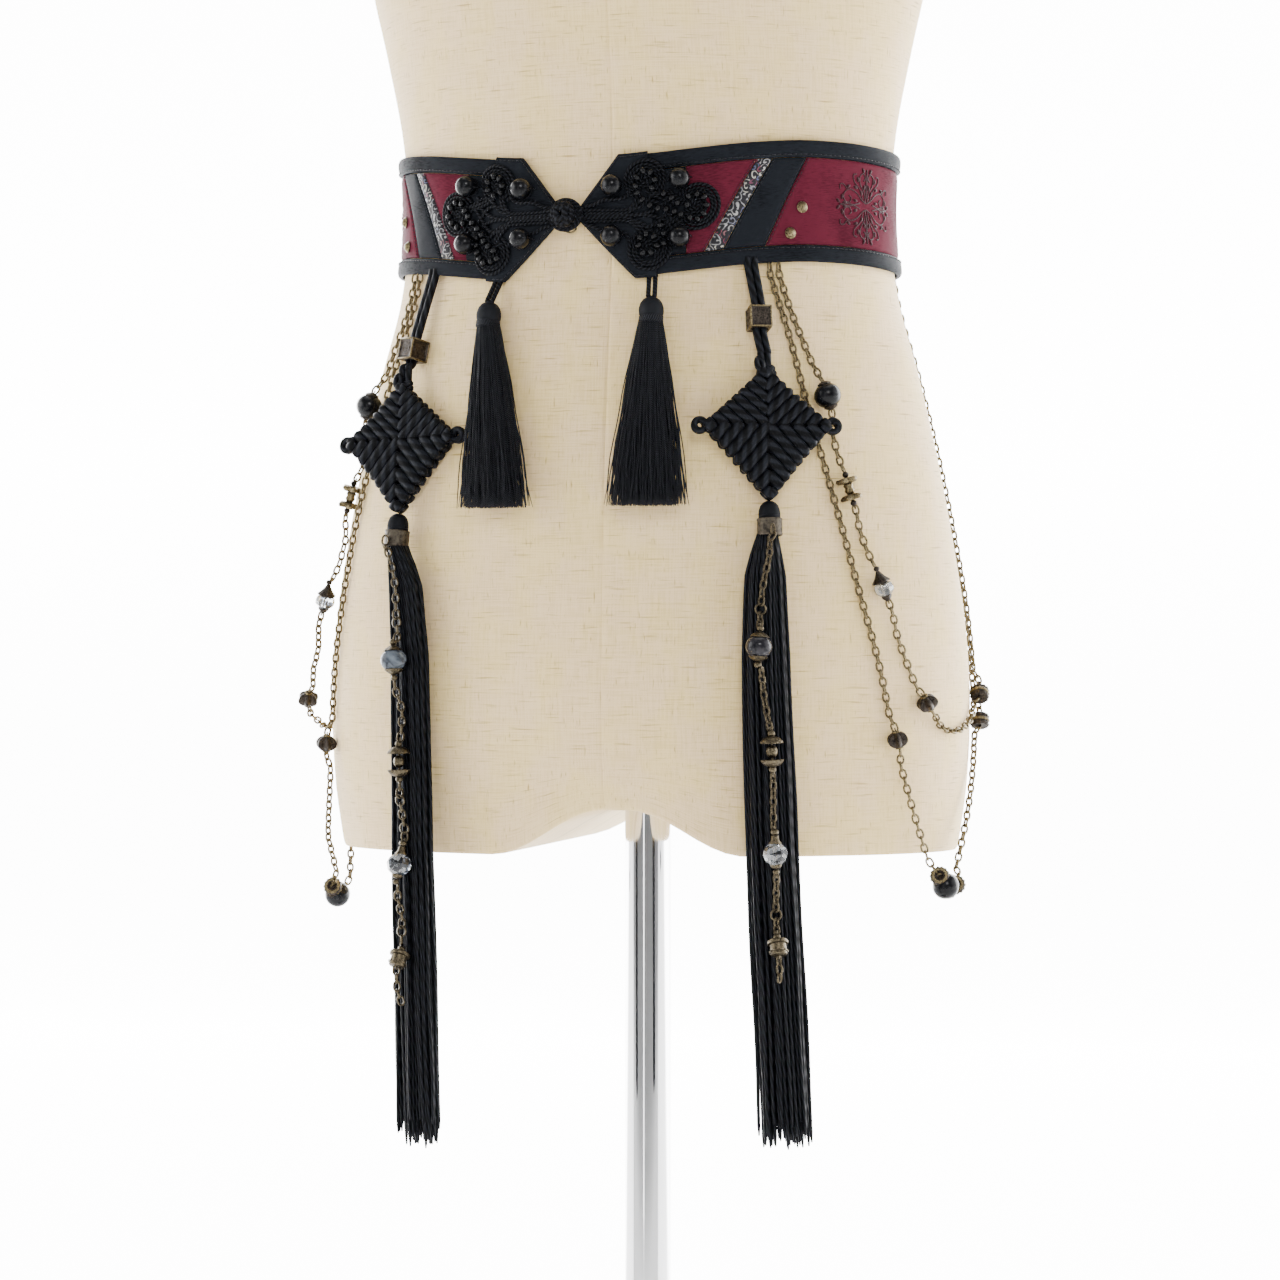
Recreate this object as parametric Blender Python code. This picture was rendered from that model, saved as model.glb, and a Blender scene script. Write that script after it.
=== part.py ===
"""An obi belt with a frog closure, knotted cords, tassels and bead chains, worn by a limbless dress form.

The form stands on the floor at Z = 0 and faces -Y. Cloth places are told by the arc length round the
belt from its closure, positive towards +X, and by height; depths are told outwards from the form.
"""
import bisect
import math

import bmesh
import bpy
from mathutils import Matrix, Vector

MM = 0.001
SEAM = 0.3 * MM

# The dress form: height of each section over the floor, half width, depth in front and behind.
FORM_COLUMNS = ("height", "half_width", "front", "back")
FORM_ROWS = (
    (687, 155.0, 100.0, 112.0),
    (720, 159.5, 104.0, 119.0),
    (760, 161.0, 107.0, 123.0),
    (800, 158.5, 106.0, 121.0),
    (840, 152.5, 103.0, 114.0),
    (880, 145.0, 99.0, 104.0),
    (920, 136.0, 93.0, 93.0),
    (960, 125.5, 85.5, 84.5),
    (1000, 121.5, 82.0, 82.0),
    (1040, 124.5, 84.0, 84.0),
    (1080, 132.0, 91.0, 88.0),
    (1120, 140.5, 102.0, 93.0),
    (1170, 146.5, 112.0, 98.0),
    (1220, 152.0, 110.0, 101.0),
    (1265, 162.0, 100.0, 102.0),
    (1305, 171.0, 88.0, 99.0),
    (1332, 171.0, 78.0, 92.0),
    (1350, 155.0, 70.0, 84.0),
    (1366, 116.0, 64.0, 76.0),
    (1382, 82.0, 60.0, 68.0),
    (1400, 64.0, 57.0, 61.0),
    (1425, 57.5, 55.0, 56.5),
    (1463, 55.0, 53.0, 54.0),
    (1472, 49.0, 47.5, 48.5),
)
WAIST_ROWS = (973, 987, 1014, 1027)
FORM_QUARTER = (0, 5, 10, 16, 23, 32, 43, 55, 67, 79, 90)
FORM_HEM = 687 * MM
HEM_ARCH_HEIGHT = 22 * MM
HEM_ARCH_FLAT = 6 * MM
HEM_ARCH_MIDDLE = 5 * MM
HEM_ARCH_HALF_WIDTH = 62 * MM
HIP_HEIGHT = 760 * MM

# The stand: a tube into the form's underside and a weighted round base.
POLE_RADIUS = 11.5 * MM
POLE_SIDES = 20
POLE_DEPTH_IN_FORM = 60 * MM
BASE_RADIUS = 190 * MM
BASE_THICKNESS = 9 * MM
BOSS_RADIUS = 21 * MM
BOSS_HEIGHT = 34 * MM
BASE_STEPS = 32

# The belt: a stiffened band between two bindings. The middle line is lower in front than at the sides.
BELT_HEIGHT = 1001 * MM
BELT_HALF_HEIGHT = 29.2 * MM
CLOSURE_SHIFT = -20.9 * MM
MIDDLE_LINE = ((0, 993.6), (22, 993.0), (35, 993.1), (60, 996.0), (85, 999.0), (113, 1001.2), (140, 1001.2),
               (190, 999.6), (260, 998.2), (340, 998.0))
BINDING_HEIGHT = 8 * MM
BINDING_INNER = 1.0 * MM
BINDING_OUTER = 3.6 * MM
BINDING_CROWN = 0.5 * MM
BINDING_STARTS = {"lower": 43.7 * MM, "upper": 39.2 * MM}
PANEL_INNER = 1.3 * MM
PANEL_OUTER = 3.3 * MM
PANEL_HALF_HEIGHT = BELT_HALF_HEIGHT - BINDING_HEIGHT - SEAM
BELT_OUTER = 4.0 * MM
COLUMN_WIDTH = 13 * MM
PANEL_ROWS = 3
SEAM_ALONG = 0.2 * MM

# Seams of the band, as arc lengths at the lower and at the upper edge of the panels.
ARROW_END = 57.0 * MM
FRONT_PANEL_END = (65.8 * MM, 91.5 * MM)
BROCADE_END = (74.7 * MM, 99.3 * MM)
BLACK_STRIPE_END = (95.5 * MM, 117.0 * MM)
SIDE_PANEL_END = 215 * MM

# The pointed front pieces: arc length, then lower and upper edge from the belt's middle line.
ARROW_INNER = 1.0 * MM
ARROW_OUTER = 4.6 * MM
ARROW_STEP = (43.0, 38.5)
ARROW_LOW = ((5.5, -2.5), (33.0, -30.3), (43.0, -30.3), (43.3, -20.9), (57.0, -20.9))
ARROW_HIGH = ((5.5, 4.6), (24.5, 29.6), (38.5, 30.3), (38.8, 20.9), (57.0, 20.9))
ARROW_STATIONS = ((5.5, 5.5), (11, 11), (17, 17), (24.5, 24.5), (29, 28), (33, 32), (43.0, 38.5), (43.3, 38.8),
                  (50, 48), (57, 57))

# Round beads sewn to each front piece: arc length and height from the middle line.
FRONT_BEAD_RADIUS = 5.0 * MM
FRONT_BEADS = {"inner_high": (22.5, 14.0), "inner_low": (22.5, -10.0),
               "outer_high": (54.0, 15.0), "outer_low": (54.0, -13.0)}
STUD_RADIUS = 2.6 * MM
STUD_HEIGHT = 1.8 * MM
STUDS = {"high": (114.5, -3.0), "low": (108.0, -15.5)}

# The frog: one cord round three petals, back to the closure. Centre, radius, first and last angle.
FROG_CORD_RADIUS = 1.4 * MM
FROG_STEM = ((8.6, 1.9), (20.0, 1.9), (31.0, 2.6))
FROG_PETALS = ((37.5, 16.5, 6.6, -112, -428), (62.5, 1.0, 8.0, 158, -158), (40.0, -17.0, 7.0, 68, -248))
FROG_PETAL_STEPS = 9

# The closure: a ball knot held in a cord loop that joins the two points.
CLOSURE_RING_RADIUS = 5.8 * MM
CLOSURE_CORD_RADIUS = 1.1 * MM
CLOSURE_KNOT_RADIUS = 5.2 * MM
CLOSURE_KNOT_DEPTH = 4.2 * MM
CLOSURE_RING_DEPTH = ARROW_OUTER + SEAM + CLOSURE_CORD_RADIUS

# Short tassels on cord loops under the points of the belt.
SHORT_TASSELS = {"left": (-37.0 * MM, 7.0 * MM), "right": (41.0 * MM, 1.5 * MM)}
SHORT_LOOP_HEIGHT = 8.8 * MM
SHORT_LOOP_HALF_WIDTH = 2.2 * MM
SHORT_LOOP_CORD_RADIUS = 1.0 * MM
SHORT_LENGTH = 100 * MM
SHORT_HEAD = ((0.0, 0.0), (3.0 * MM, 0.7 * MM), (5.3 * MM, 3.2 * MM), (5.9 * MM, 6.5 * MM), (5.3 * MM, 10.5 * MM),
              (5.0 * MM, 21.0 * MM))
SHORT_OPENING = ((0.2, 0.28), (0.6, 0.68), (1.0, 1.0))
SHORT_SKIRT_OUT = (6.6 * MM, 8.9 * MM)
SHORT_SPREAD = (17.0 * MM, 7.4 * MM)
SHORT_STRANDS = 16

# Long hanging cords with a cube bead, a knotted diamond and a long tassel, one row for each side.
HANGING = {
    "left": {"cord_angle": -48.7, "cube_angle": -48.6, "cube_height": 931.6, "knot_angle": -44.5,
             "knot_height": 887.1, "knot_turn": -14.3, "knot_roll": 5.5, "knot_off": 5.8, "end_height": 549.0,
             "tassel_line": ((550, -93.0), (690, -97.0), (785, -98.0), (842, -103.5), (856, -107.0)),
             "pendant_shift": ((640, 0.5), (690, 2.5), (745, 2.5), (785, 3.5), (815, 1.5), (830, 0.0))},
    "right": {"cord_angle": 31.7, "cube_angle": 32.1, "cube_height": 943.3, "knot_angle": 31.3,
              "knot_height": 891.6, "knot_turn": 0.0, "knot_roll": 0.0, "knot_off": 2.8, "end_height": 553.0,
              "tassel_line": ((550, 89.5), (690, 83.0), (785, 80.1), (842, 78.5), (856, 78.0)),
              "pendant_shift": ((640, -2.0), (700, -1.0), (745, -1.0), (785, -6.0), (815, -3.0), (830, 0.0))},
}
CORD_RADIUS = 1.7 * MM
CUBE_SIDE = 10.5 * MM
CUBE_HOLE = (9.0 * MM, 5.4 * MM)
CORD_TOP_OUT = 3.4 * MM
CUBE_DEPTH = 6.2 * MM
KNOT_HALF_WIDTH = 30.6 * MM
KNOT_UP = 27.5 * MM
KNOT_DOWN = 36 * MM
KNOT_RIBS = 9
KNOT_BACK = 3.4 * MM
KNOT_VALLEY = 4.4 * MM
KNOT_CREST = 6.4 * MM
KNOT_SCALLOP = 1.3 * MM
KNOT_EAR_RADIUS = 3.2 * MM
KNOT_EAR_CORD = 1.5 * MM
KNOT_TOP_SIZE = (5.2 * MM, 3.4 * MM, 6.0 * MM)
BAND_RADIUS = 5.7 * MM
BAND_WALL = 0.8 * MM
BAND_HEIGHT = 7.8 * MM
DOME_HEIGHT = 8.2 * MM
LONG_HEAD = ((0.0, 0.0), (2.6 * MM, 0.5 * MM), (4.5 * MM, 2.7 * MM), (5.1 * MM, 6.0 * MM), (5.0 * MM, 8.2 * MM),
             (4.6 * MM, 8.2 * MM), (4.6 * MM, 16.8 * MM))
LONG_SPREAD = (12.0 * MM, 6.5 * MM)
LONG_OPENING = ((0.06, 0.3), (0.2, 0.58), (0.37, 0.72), (0.6, 0.86), (1.0, 1.0))
LONG_OPENING_FULL = ((0.0, 0.0),) + LONG_OPENING
LONG_SKIRT_OUT = 8.6 * MM
LONG_HEAD_OUT = 4.6 * MM
LONG_STRANDS = 14
INNER_RING = 0.52
STRAND_RADIUS = 0.9 * MM

# Chains hung under the belt: angle from the closure, height, as points chosen along each route.
CHAIN_RADIUS = 1.6 * MM
CHAIN_CLEARANCE = 0.5 * MM
CHAIN_STEP = 18 * MM
CLOSURE_ANGLE = -10.3
UPPER_SWING = {"left": ((58, 0.0), (64.5, 2.5), (70, 8.0), (95, 8.0), (108, 0.0)), "right": ((0, 0.0), (1, 0.0))}
LOWER_SWING = {"left": ((69, 0.0), (76, -4.0), (80.5, -6.5), (85, -4.5), (90, 0.0)), "right": ((0, 0.0), (1, 0.0))}
UPPER_CHAIN = {
    "left": (
        (49.0, 966), (50.6, 945), (54.0, 918), (55.6, 903), (56.9, 880), (58.7, 857), (61.5, 832), (64.3, 810),
        (69.0, 780), (74.3, 758), (80.0, 748.5), (85.0, 746), (92.0, 748), (100.0, 755), (107.0, 768),
        (110.5, 790), (112.5, 830), (114.5, 880), (116.5, 925), (118.0, 966),
    ),
    "right": (
        (48.9, 966), (51.2, 945), (54.6, 918), (56.0, 903), (57.1, 880), (58.7, 857), (61.5, 832), (64.3, 810),
        (69.0, 780), (74.3, 758), (80.0, 748.5), (85.0, 746), (92.0, 748), (100.0, 755), (107.0, 768),
        (110.5, 790), (112.5, 830), (114.5, 880), (116.5, 925), (118.0, 966),
    ),
}
LOWER_CHAIN = {
    "left": (
        (46.2, 966), (47.8, 940), (50.2, 905), (52.2, 880), (55.0, 845), (56.0, 812), (57.6, 780), (59.6, 745),
        (63.8, 710), (73.0, 679), (77.0, 665.5), (80.5, 660.5), (84.0, 664), (90.6, 690), (99.0, 722),
        (107.5, 751), (113.8, 790), (116.4, 830), (118.4, 880), (120.4, 925), (121.8, 966),
    ),
    "right": (
        (46.6, 966), (49.2, 940), (51.3, 905), (53.2, 880), (56.0, 845), (58.6, 812), (61.8, 780), (65.2, 745),
        (70.0, 712), (75.5, 683), (78.5, 672.5), (81.5, 669.5), (84.5, 673), (90.6, 694), (99.0, 722),
        (107.5, 751), (113.8, 790), (116.4, 830), (118.4, 880), (120.4, 925), (121.8, 966),
    ),
}
# Beads on the chains: share of the route, radius, half length along the route.
UPPER_BEADS = {
    "left": ((0.128, 6.0, 5.6), (0.221, 4.6, 6.0), (0.329, 4.6, 7.0), (0.437, 4.4, 4.0), (0.59, 4.4, 3.4)),
    "right": ((0.128, 6.0, 5.6), (0.221, 4.6, 6.0), (0.321, 4.6, 7.0), (0.442, 4.4, 4.0), (0.59, 4.4, 3.4)),
}
LOWER_BEADS = {
    "left": ((0.355, 4.2, 4.0), (0.472, 4.2, 2.6), (0.490, 6.0, 5.2), (0.508, 4.2, 2.6), (0.653, 4.4, 3.4)),
    "right": ((0.365, 4.2, 4.0), (0.470, 4.2, 2.6), (0.488, 6.0, 5.2), (0.506, 4.2, 2.6), (0.653, 4.4, 3.4)),
}
PENDANT_BEADS = {
    "left": ((0.287, 6.2, 5.6), (0.510, 5.0, 8.5), (0.735, 5.8, 5.6), (0.943, 5.2, 4.0)),
    "right": ((0.2805, 6.2, 5.6), (0.517, 5.0, 8.5), (0.746, 5.8, 5.6), (0.958, 5.2, 4.0)),
}
PENDANT_LENGTH = {"left": 224 * MM, "right": 214 * MM}
PENDANT_OUT = 0.1 * MM

COLOURS = {
    "black_satin": ((0.012, 0.013, 0.018), 0.55, 0.0),
    "red_satin": ((0.17, 0.012, 0.028), 0.45, 0.0),
    "brocade": ((0.22, 0.21, 0.22), 0.5, 0.0),
    "black_cord": ((0.008, 0.009, 0.012), 0.6, 0.0),
    "black_bead": ((0.010, 0.011, 0.012), 0.15, 0.0),
    "antique_brass": ((0.24, 0.17, 0.08), 0.4, 1.0),
    "form_linen": ((0.74, 0.66, 0.53), 0.85, 0.0),
    "chrome": ((0.75, 0.76, 0.77), 0.12, 1.0),
}


def material(name):
    """The Principled material of that name, made the first time it is asked for."""
    found = bpy.data.materials.get(name)
    if found:
        return found
    colour, roughness, metallic = COLOURS[name]
    made = bpy.data.materials.new(name)
    made.use_nodes = True
    shader = made.node_tree.nodes["Principled BSDF"]
    shader.inputs["Base Color"].default_value = (*colour, 1)
    shader.inputs["Roughness"].default_value = roughness
    shader.inputs["Metallic"].default_value = metallic
    return made


def add_object(name, data, slot, collection="obi_belt"):
    """Puts new object data in the part's collection with its material."""
    made = bpy.data.objects.new(name, data)
    bpy.data.collections[collection].objects.link(made)
    data.materials.append(material(slot))
    return made


def from_bmesh(name, bm, slot, smooth=True, collection="obi_belt"):
    """Writes a bmesh to a new object."""
    mesh = bpy.data.meshes.new(name)
    bmesh.ops.recalc_face_normals(bm, faces=bm.faces)
    bm.to_mesh(mesh)
    bm.free()
    if smooth:
        mesh.shade_smooth()
        mesh.set_sharp_from_angle(angle=math.radians(40))
    return add_object(name, mesh, slot, collection)


def linear(x, points):
    """Straight interpolation in a short table of (x, y) rows."""
    for (x0, y0), (x1, y1) in zip(points, points[1:]):
        if x <= x1:
            return y0 + (y1 - y0) * max(0.0, x - x0) / (x1 - x0)
    return points[-1][1]


def form_size(height, column):
    """One measure of the form at a height, on a smooth curve through the rows."""
    k = FORM_COLUMNS.index(column)
    rows = FORM_ROWS
    x = min(max(height / MM, rows[0][0]), rows[-1][0])
    i = min(max(bisect.bisect_right([r[0] for r in rows], x) - 1, 0), len(rows) - 2)

    def slope(j):
        low, high = max(j - 1, 0), min(j + 1, len(rows) - 1)
        return (rows[high][k] - rows[low][k]) / (rows[high][0] - rows[low][0])

    step = rows[i + 1][0] - rows[i][0]
    u = (x - rows[i][0]) / step
    blend = (2 * u**3 - 3 * u**2 + 1) * rows[i][k] + (3 * u**2 - 2 * u**3) * rows[i + 1][k]
    turn = (u**3 - 2 * u**2 + u) * slope(i) + (u**3 - u**2) * slope(i + 1)
    return (blend + turn * step) * MM


def on_form(angle, height, out=0.0):
    """The point at an angle round the form (0 in front, positive to +X), moved outwards."""
    wide = form_size(height, "half_width")
    deep = form_size(height, "front" if math.cos(angle) > 0 else "back")
    normal = Vector((math.sin(angle) / wide, -math.cos(angle) / deep, 0)).normalized()
    return Vector((wide * math.sin(angle), -deep * math.cos(angle), height)) + out * normal


def form_frame(angle, height, out=0.0, upright=False):
    """A frame on the form: X along it, Y into it, Z up its slope or straight up."""
    step = 0.002
    along = (on_form(angle + step, height) - on_form(angle - step, height)).normalized()
    slope = Vector((0, 0, 1))
    if not upright:
        slope = (on_form(angle, height + 10 * MM) - on_form(angle, height - 10 * MM)).normalized()
    inward = -along.cross(slope).normalized()
    up = along.cross(inward)
    turn = Matrix((along, inward, up)).transposed().to_4x4()
    return Matrix.Translation(on_form(angle, height, out)) @ turn


def hang_point(angle, height, out):
    """A point of something that lies on the form down to the hip and hangs plumb below it."""
    point = on_form(angle, max(height, HIP_HEIGHT), out)
    point.z = height
    return point


def arc_table():
    """Angles round the belt's outer face and the arc length from the front to each."""
    steps = 1440
    angles = [math.radians(-200 + 400 * i / steps) for i in range(steps + 1)]
    arcs = [0.0]
    for a, b in zip(angles, angles[1:]):
        first = on_form(a, BELT_HEIGHT, BELT_OUTER)
        arcs.append(arcs[-1] + (on_form(b, BELT_HEIGHT, BELT_OUTER) - first).length)
    middle = arcs[steps // 2]
    return angles, [arc - middle for arc in arcs]


ARC_ANGLES, ARCS = arc_table()
BELT_LENGTH = ARCS[720 + 648] - ARCS[720 - 648]


def angle_at(arc):
    """The angle round the form of an arc length from the closure."""
    wanted = arc + CLOSURE_SHIFT
    if wanted > ARCS[-1]:
        wanted -= BELT_LENGTH
    i = min(max(bisect.bisect_right(ARCS, wanted) - 1, 0), len(ARCS) - 2)
    share = (wanted - ARCS[i]) / (ARCS[i + 1] - ARCS[i])
    return ARC_ANGLES[i] + share * (ARC_ANGLES[i + 1] - ARC_ANGLES[i])


def arc_at(angle):
    """The arc length from the closure of an angle round the form."""
    i = min(max(bisect.bisect_right(ARC_ANGLES, angle) - 1, 0), len(ARCS) - 2)
    share = (angle - ARC_ANGLES[i]) / (ARC_ANGLES[i + 1] - ARC_ANGLES[i])
    return ARCS[i] + share * (ARCS[i + 1] - ARCS[i]) - CLOSURE_SHIFT


def middle_height(arc):
    """Height of the belt's middle line at an arc length from the closure, smoothed."""
    around = abs(arc) / MM
    around = min(around, BELT_LENGTH / MM - around)
    return sum(linear(abs(around + k), MIDDLE_LINE) for k in (-8, -4, 0, 4, 8)) / 5 * MM


def belt_point(arc, height, out):
    """A point of the belt: arc from the closure, height from the middle line, depth from the form."""
    return on_form(angle_at(arc), middle_height(arc) + height, out)


def belt_frame(arc, height, out):
    """A frame on the belt's face, X along it, Y inwards, Z up."""
    return form_frame(angle_at(arc), middle_height(arc) + height, out)


def belt_surface(arc, height):
    """How far the belt's face stands off the form near a place."""
    near = []
    for along in (-2.4, 0, 2.4):
        for up in (-2.4, 0, 2.4):
            s, h = abs(arc) / MM + along, height / MM + up
            if s < linear(h, ((-30.3, ARROW_STEP[0]), (30.3, ARROW_STEP[1]))) + 0.3:
                near.append(ARROW_OUTER)
            else:
                near.append(BINDING_OUTER + BINDING_CROWN if abs(h) > PANEL_HALF_HEIGHT / MM else PANEL_OUTER)
    return max(near)


def belt_patch(name, slot, columns, low, high, inner, outer, rows=PANEL_ROWS, side=1):
    """A closed wall of cloth. Columns are (arc at the lower edge, arc at the upper edge)."""
    bm = bmesh.new()
    sheets = []
    for depth in (outer, inner):
        sheet = []
        for first, last in columns:
            column = []
            for row in range(rows + 1):
                v = row / rows
                arc = first + (last - first) * v
                height = low(first) + (high(last) - low(first)) * v
                column.append(bm.verts.new(belt_point(side * arc, height, depth(first, v))))
            sheet.append(column)
        sheets.append(sheet)
    face, back = sheets
    end = len(columns) - 1
    for i in range(end):
        for j in range(rows):
            bm.faces.new((face[i][j], face[i + 1][j], face[i + 1][j + 1], face[i][j + 1]))
            bm.faces.new((back[i][j], back[i][j + 1], back[i + 1][j + 1], back[i + 1][j]))
        bm.faces.new((face[i][0], back[i][0], back[i + 1][0], face[i + 1][0]))
        bm.faces.new((face[i][rows], face[i + 1][rows], back[i + 1][rows], back[i][rows]))
    for j in range(rows):
        bm.faces.new((face[0][j], face[0][j + 1], back[0][j + 1], back[0][j]))
        bm.faces.new((face[end][j], back[end][j], back[end][j + 1], face[end][j + 1]))
    if side < 0:
        bmesh.ops.reverse_faces(bm, faces=bm.faces)
    return from_bmesh(name, bm, slot)


def spaced(start, end, width=COLUMN_WIDTH):
    """Columns between two seams, each told by its arc at the lower and the upper edge."""
    steps = max(1, round(((end[0] - start[0]) + (end[1] - start[1])) / 2 / width))
    return [tuple(a + (b - a) * i / steps for a, b in zip(start, end)) for i in range(steps + 1)]


def panel(name, slot, start, end, side=1):
    """A flat panel between the two bindings, standing a seam's gap from its neighbours."""
    begin = tuple(arc + SEAM_ALONG for arc in start)
    finish = tuple(arc - SEAM_ALONG for arc in end)
    return belt_patch(name, slot, spaced(begin, finish), lambda arc: -PANEL_HALF_HEIGHT,
                      lambda arc: PANEL_HALF_HEIGHT, lambda arc, v: PANEL_INNER,
                      lambda arc, v: PANEL_OUTER, side=side)


def sweep(bm, points, radii, sides, closed=False, flat=1.0, turn=0.0):
    """A tube through points; radii may differ; flat widens it across its frame's first axis."""
    count = len(points)
    rings = []
    across = None
    for i in range(count):
        before = points[i - 1] if (i or closed) else points[i]
        after = points[(i + 1) % count] if (i < count - 1 or closed) else points[i]
        forward = (after - before).normalized()
        if across is None:
            seed = Vector((0, 0, 1)) if abs(forward.z) < 0.8 else Vector((0, -1, 0))
            across = forward.cross(seed).normalized()
        across = (across - forward * across.dot(forward)).normalized()
        other = forward.cross(across)
        ring = []
        for k in range(sides):
            a = turn + 2 * math.pi * k / sides
            ring.append(bm.verts.new(points[i] + radii[i] * (flat * math.cos(a) * across + math.sin(a) * other)))
        rings.append(ring)
    for i in range(count if closed else count - 1):
        here, there = rings[i], rings[(i + 1) % count]
        for k in range(sides):
            n = (k + 1) % sides
            bm.faces.new((here[k], here[n], there[n], there[k]))
    if not closed:
        bm.faces.new(reversed(rings[0]))
        bm.faces.new(rings[-1])
    return rings


def lathe(bm, profile, sides, place=Matrix.Identity(4), squash=1.0, closed=False):
    """A body turned round Z from (radius, height) rows; closed joins the last row to the first."""
    rings = []
    for radius, height in profile:
        if radius < 1e-7:
            rings.append([bm.verts.new(place @ Vector((0, 0, height)))])
            continue
        rings.append([bm.verts.new(place @ Vector((radius * math.cos(2 * math.pi * k / sides),
                                                   squash * radius * math.sin(2 * math.pi * k / sides), height)))
                      for k in range(sides)])
    for lower, upper in zip(rings, rings[1:] + (rings[:1] if closed else [])):
        for k in range(sides):
            n = (k + 1) % sides
            if len(lower) == 1:
                bm.faces.new((lower[0], upper[n], upper[k]))
            elif len(upper) == 1:
                bm.faces.new((lower[k], lower[n], upper[0]))
            else:
                bm.faces.new((lower[k], lower[n], upper[n], upper[k]))
    return rings


def ball_profile(radius, steps, depth=None, bottom=-1.0):
    """Rows of a ball for lathe; bottom says where it is cut, -1 for whole."""
    depth = depth or radius
    start = math.asin(bottom)
    rows = [(radius * math.cos(start + (math.pi / 2 - start) * i / steps),
             depth * math.sin(start + (math.pi / 2 - start) * i / steps)) for i in range(steps + 1)]
    rows[-1] = (0.0, depth)
    if bottom <= -1.0:
        rows[0] = (0.0, -depth)
    return rows


def combine(target, cutter_bm, operation, name):
    """Applies an exact Boolean of a bmesh body to an object's mesh, with the cutter kept aside."""
    mesh = bpy.data.meshes.new(name)
    cutter_bm.to_mesh(mesh)
    cutter_bm.free()
    tool = bpy.data.objects.new(name, mesh)
    bpy.data.collections["cutters"].objects.link(tool)
    tool.hide_render = True
    tool.display_type = "WIRE"
    modifier = target.modifiers.new(name, "BOOLEAN")
    modifier.operation = operation
    modifier.solver = "EXACT"
    modifier.object = tool
    return tool


def hem_arch(x):
    """How far the hem is raised between the legs, at a distance from the form's middle plane."""
    off = max(0.0, abs(x - HEM_ARCH_MIDDLE) - HEM_ARCH_FLAT) / (HEM_ARCH_HALF_WIDTH - HEM_ARCH_FLAT)
    return HEM_ARCH_HEIGHT * (0.5 + 0.5 * math.cos(math.pi * min(off, 1.0)))


def build_form():
    """The padded, linen covered torso with its arched hem and the socket for the pole."""
    heights = sorted([row[0] * MM for row in FORM_ROWS] + [z * MM for z in WAIST_ROWS])
    quarter = list(FORM_QUARTER)
    degrees = (quarter + [180 - t for t in reversed(quarter[:-1])] + [180 + t for t in quarter[1:]]
               + [360 - t for t in reversed(quarter[1:-1])])
    count = len(degrees)
    bm = bmesh.new()
    rings = []
    for i, height in enumerate(heights):
        ring = []
        for t in degrees:
            point = on_form(math.radians(t), height)
            if i == 0:
                point.z += hem_arch(point.x)
            ring.append(bm.verts.new(point))
        rings.append(ring)
    for lower, upper in zip(rings, rings[1:]):
        for k in range(count):
            n = (k + 1) % count
            bm.faces.new((lower[k], lower[n], upper[n], upper[k]))
    bm.faces.new(rings[-1])
    hem = rings[0]
    half, side = count // 2, count // 4
    for k in range(-side, side):
        strip = (hem[k % count], hem[(half - k) % count], hem[(half - k - 1) % count], hem[(k + 1) % count])
        bm.faces.new([v for i, v in enumerate(strip) if v not in strip[:i]])
    torso = from_bmesh("form_torso", bm, "form_linen")
    socket = bmesh.new()
    top = FORM_HEM + HEM_ARCH_HEIGHT + POLE_DEPTH_IN_FORM + SEAM
    lathe(socket, ((0.0, FORM_HEM - 20 * MM), (POLE_RADIUS + SEAM, FORM_HEM - 20 * MM),
                   (POLE_RADIUS + SEAM, top), (0.0, top)), POLE_SIDES)
    combine(torso, socket, "DIFFERENCE", "pole_socket")


def build_stand():
    """The chromed pole and the weighted round base it stands in."""
    bm = bmesh.new()
    low, high = BASE_THICKNESS + SEAM, FORM_HEM + HEM_ARCH_HEIGHT + POLE_DEPTH_IN_FORM
    lathe(bm, ((0.0, low), (POLE_RADIUS, low), (POLE_RADIUS, high), (0.0, high)), POLE_SIDES)
    from_bmesh("form_pole", bm, "chrome")
    bm = bmesh.new()
    bore = POLE_RADIUS + SEAM
    boss_top = BASE_THICKNESS + BOSS_HEIGHT
    lathe(bm, ((0.0, 0.0), (BASE_RADIUS, 0.0), (BASE_RADIUS, 4 * MM), (BASE_RADIUS - 1.5 * MM, 6 * MM),
               (BASE_RADIUS - 6 * MM, 7.5 * MM), (BOSS_RADIUS + 12 * MM, BASE_THICKNESS + 2 * MM),
               (BOSS_RADIUS + 2 * MM, BASE_THICKNESS + 6 * MM), (BOSS_RADIUS, boss_top - 2 * MM),
               (BOSS_RADIUS - 2 * MM, boss_top), (bore, boss_top), (bore, BASE_THICKNESS),
               (0.0, BASE_THICKNESS)), BASE_STEPS)
    from_bmesh("form_base", bm, "chrome")


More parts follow.
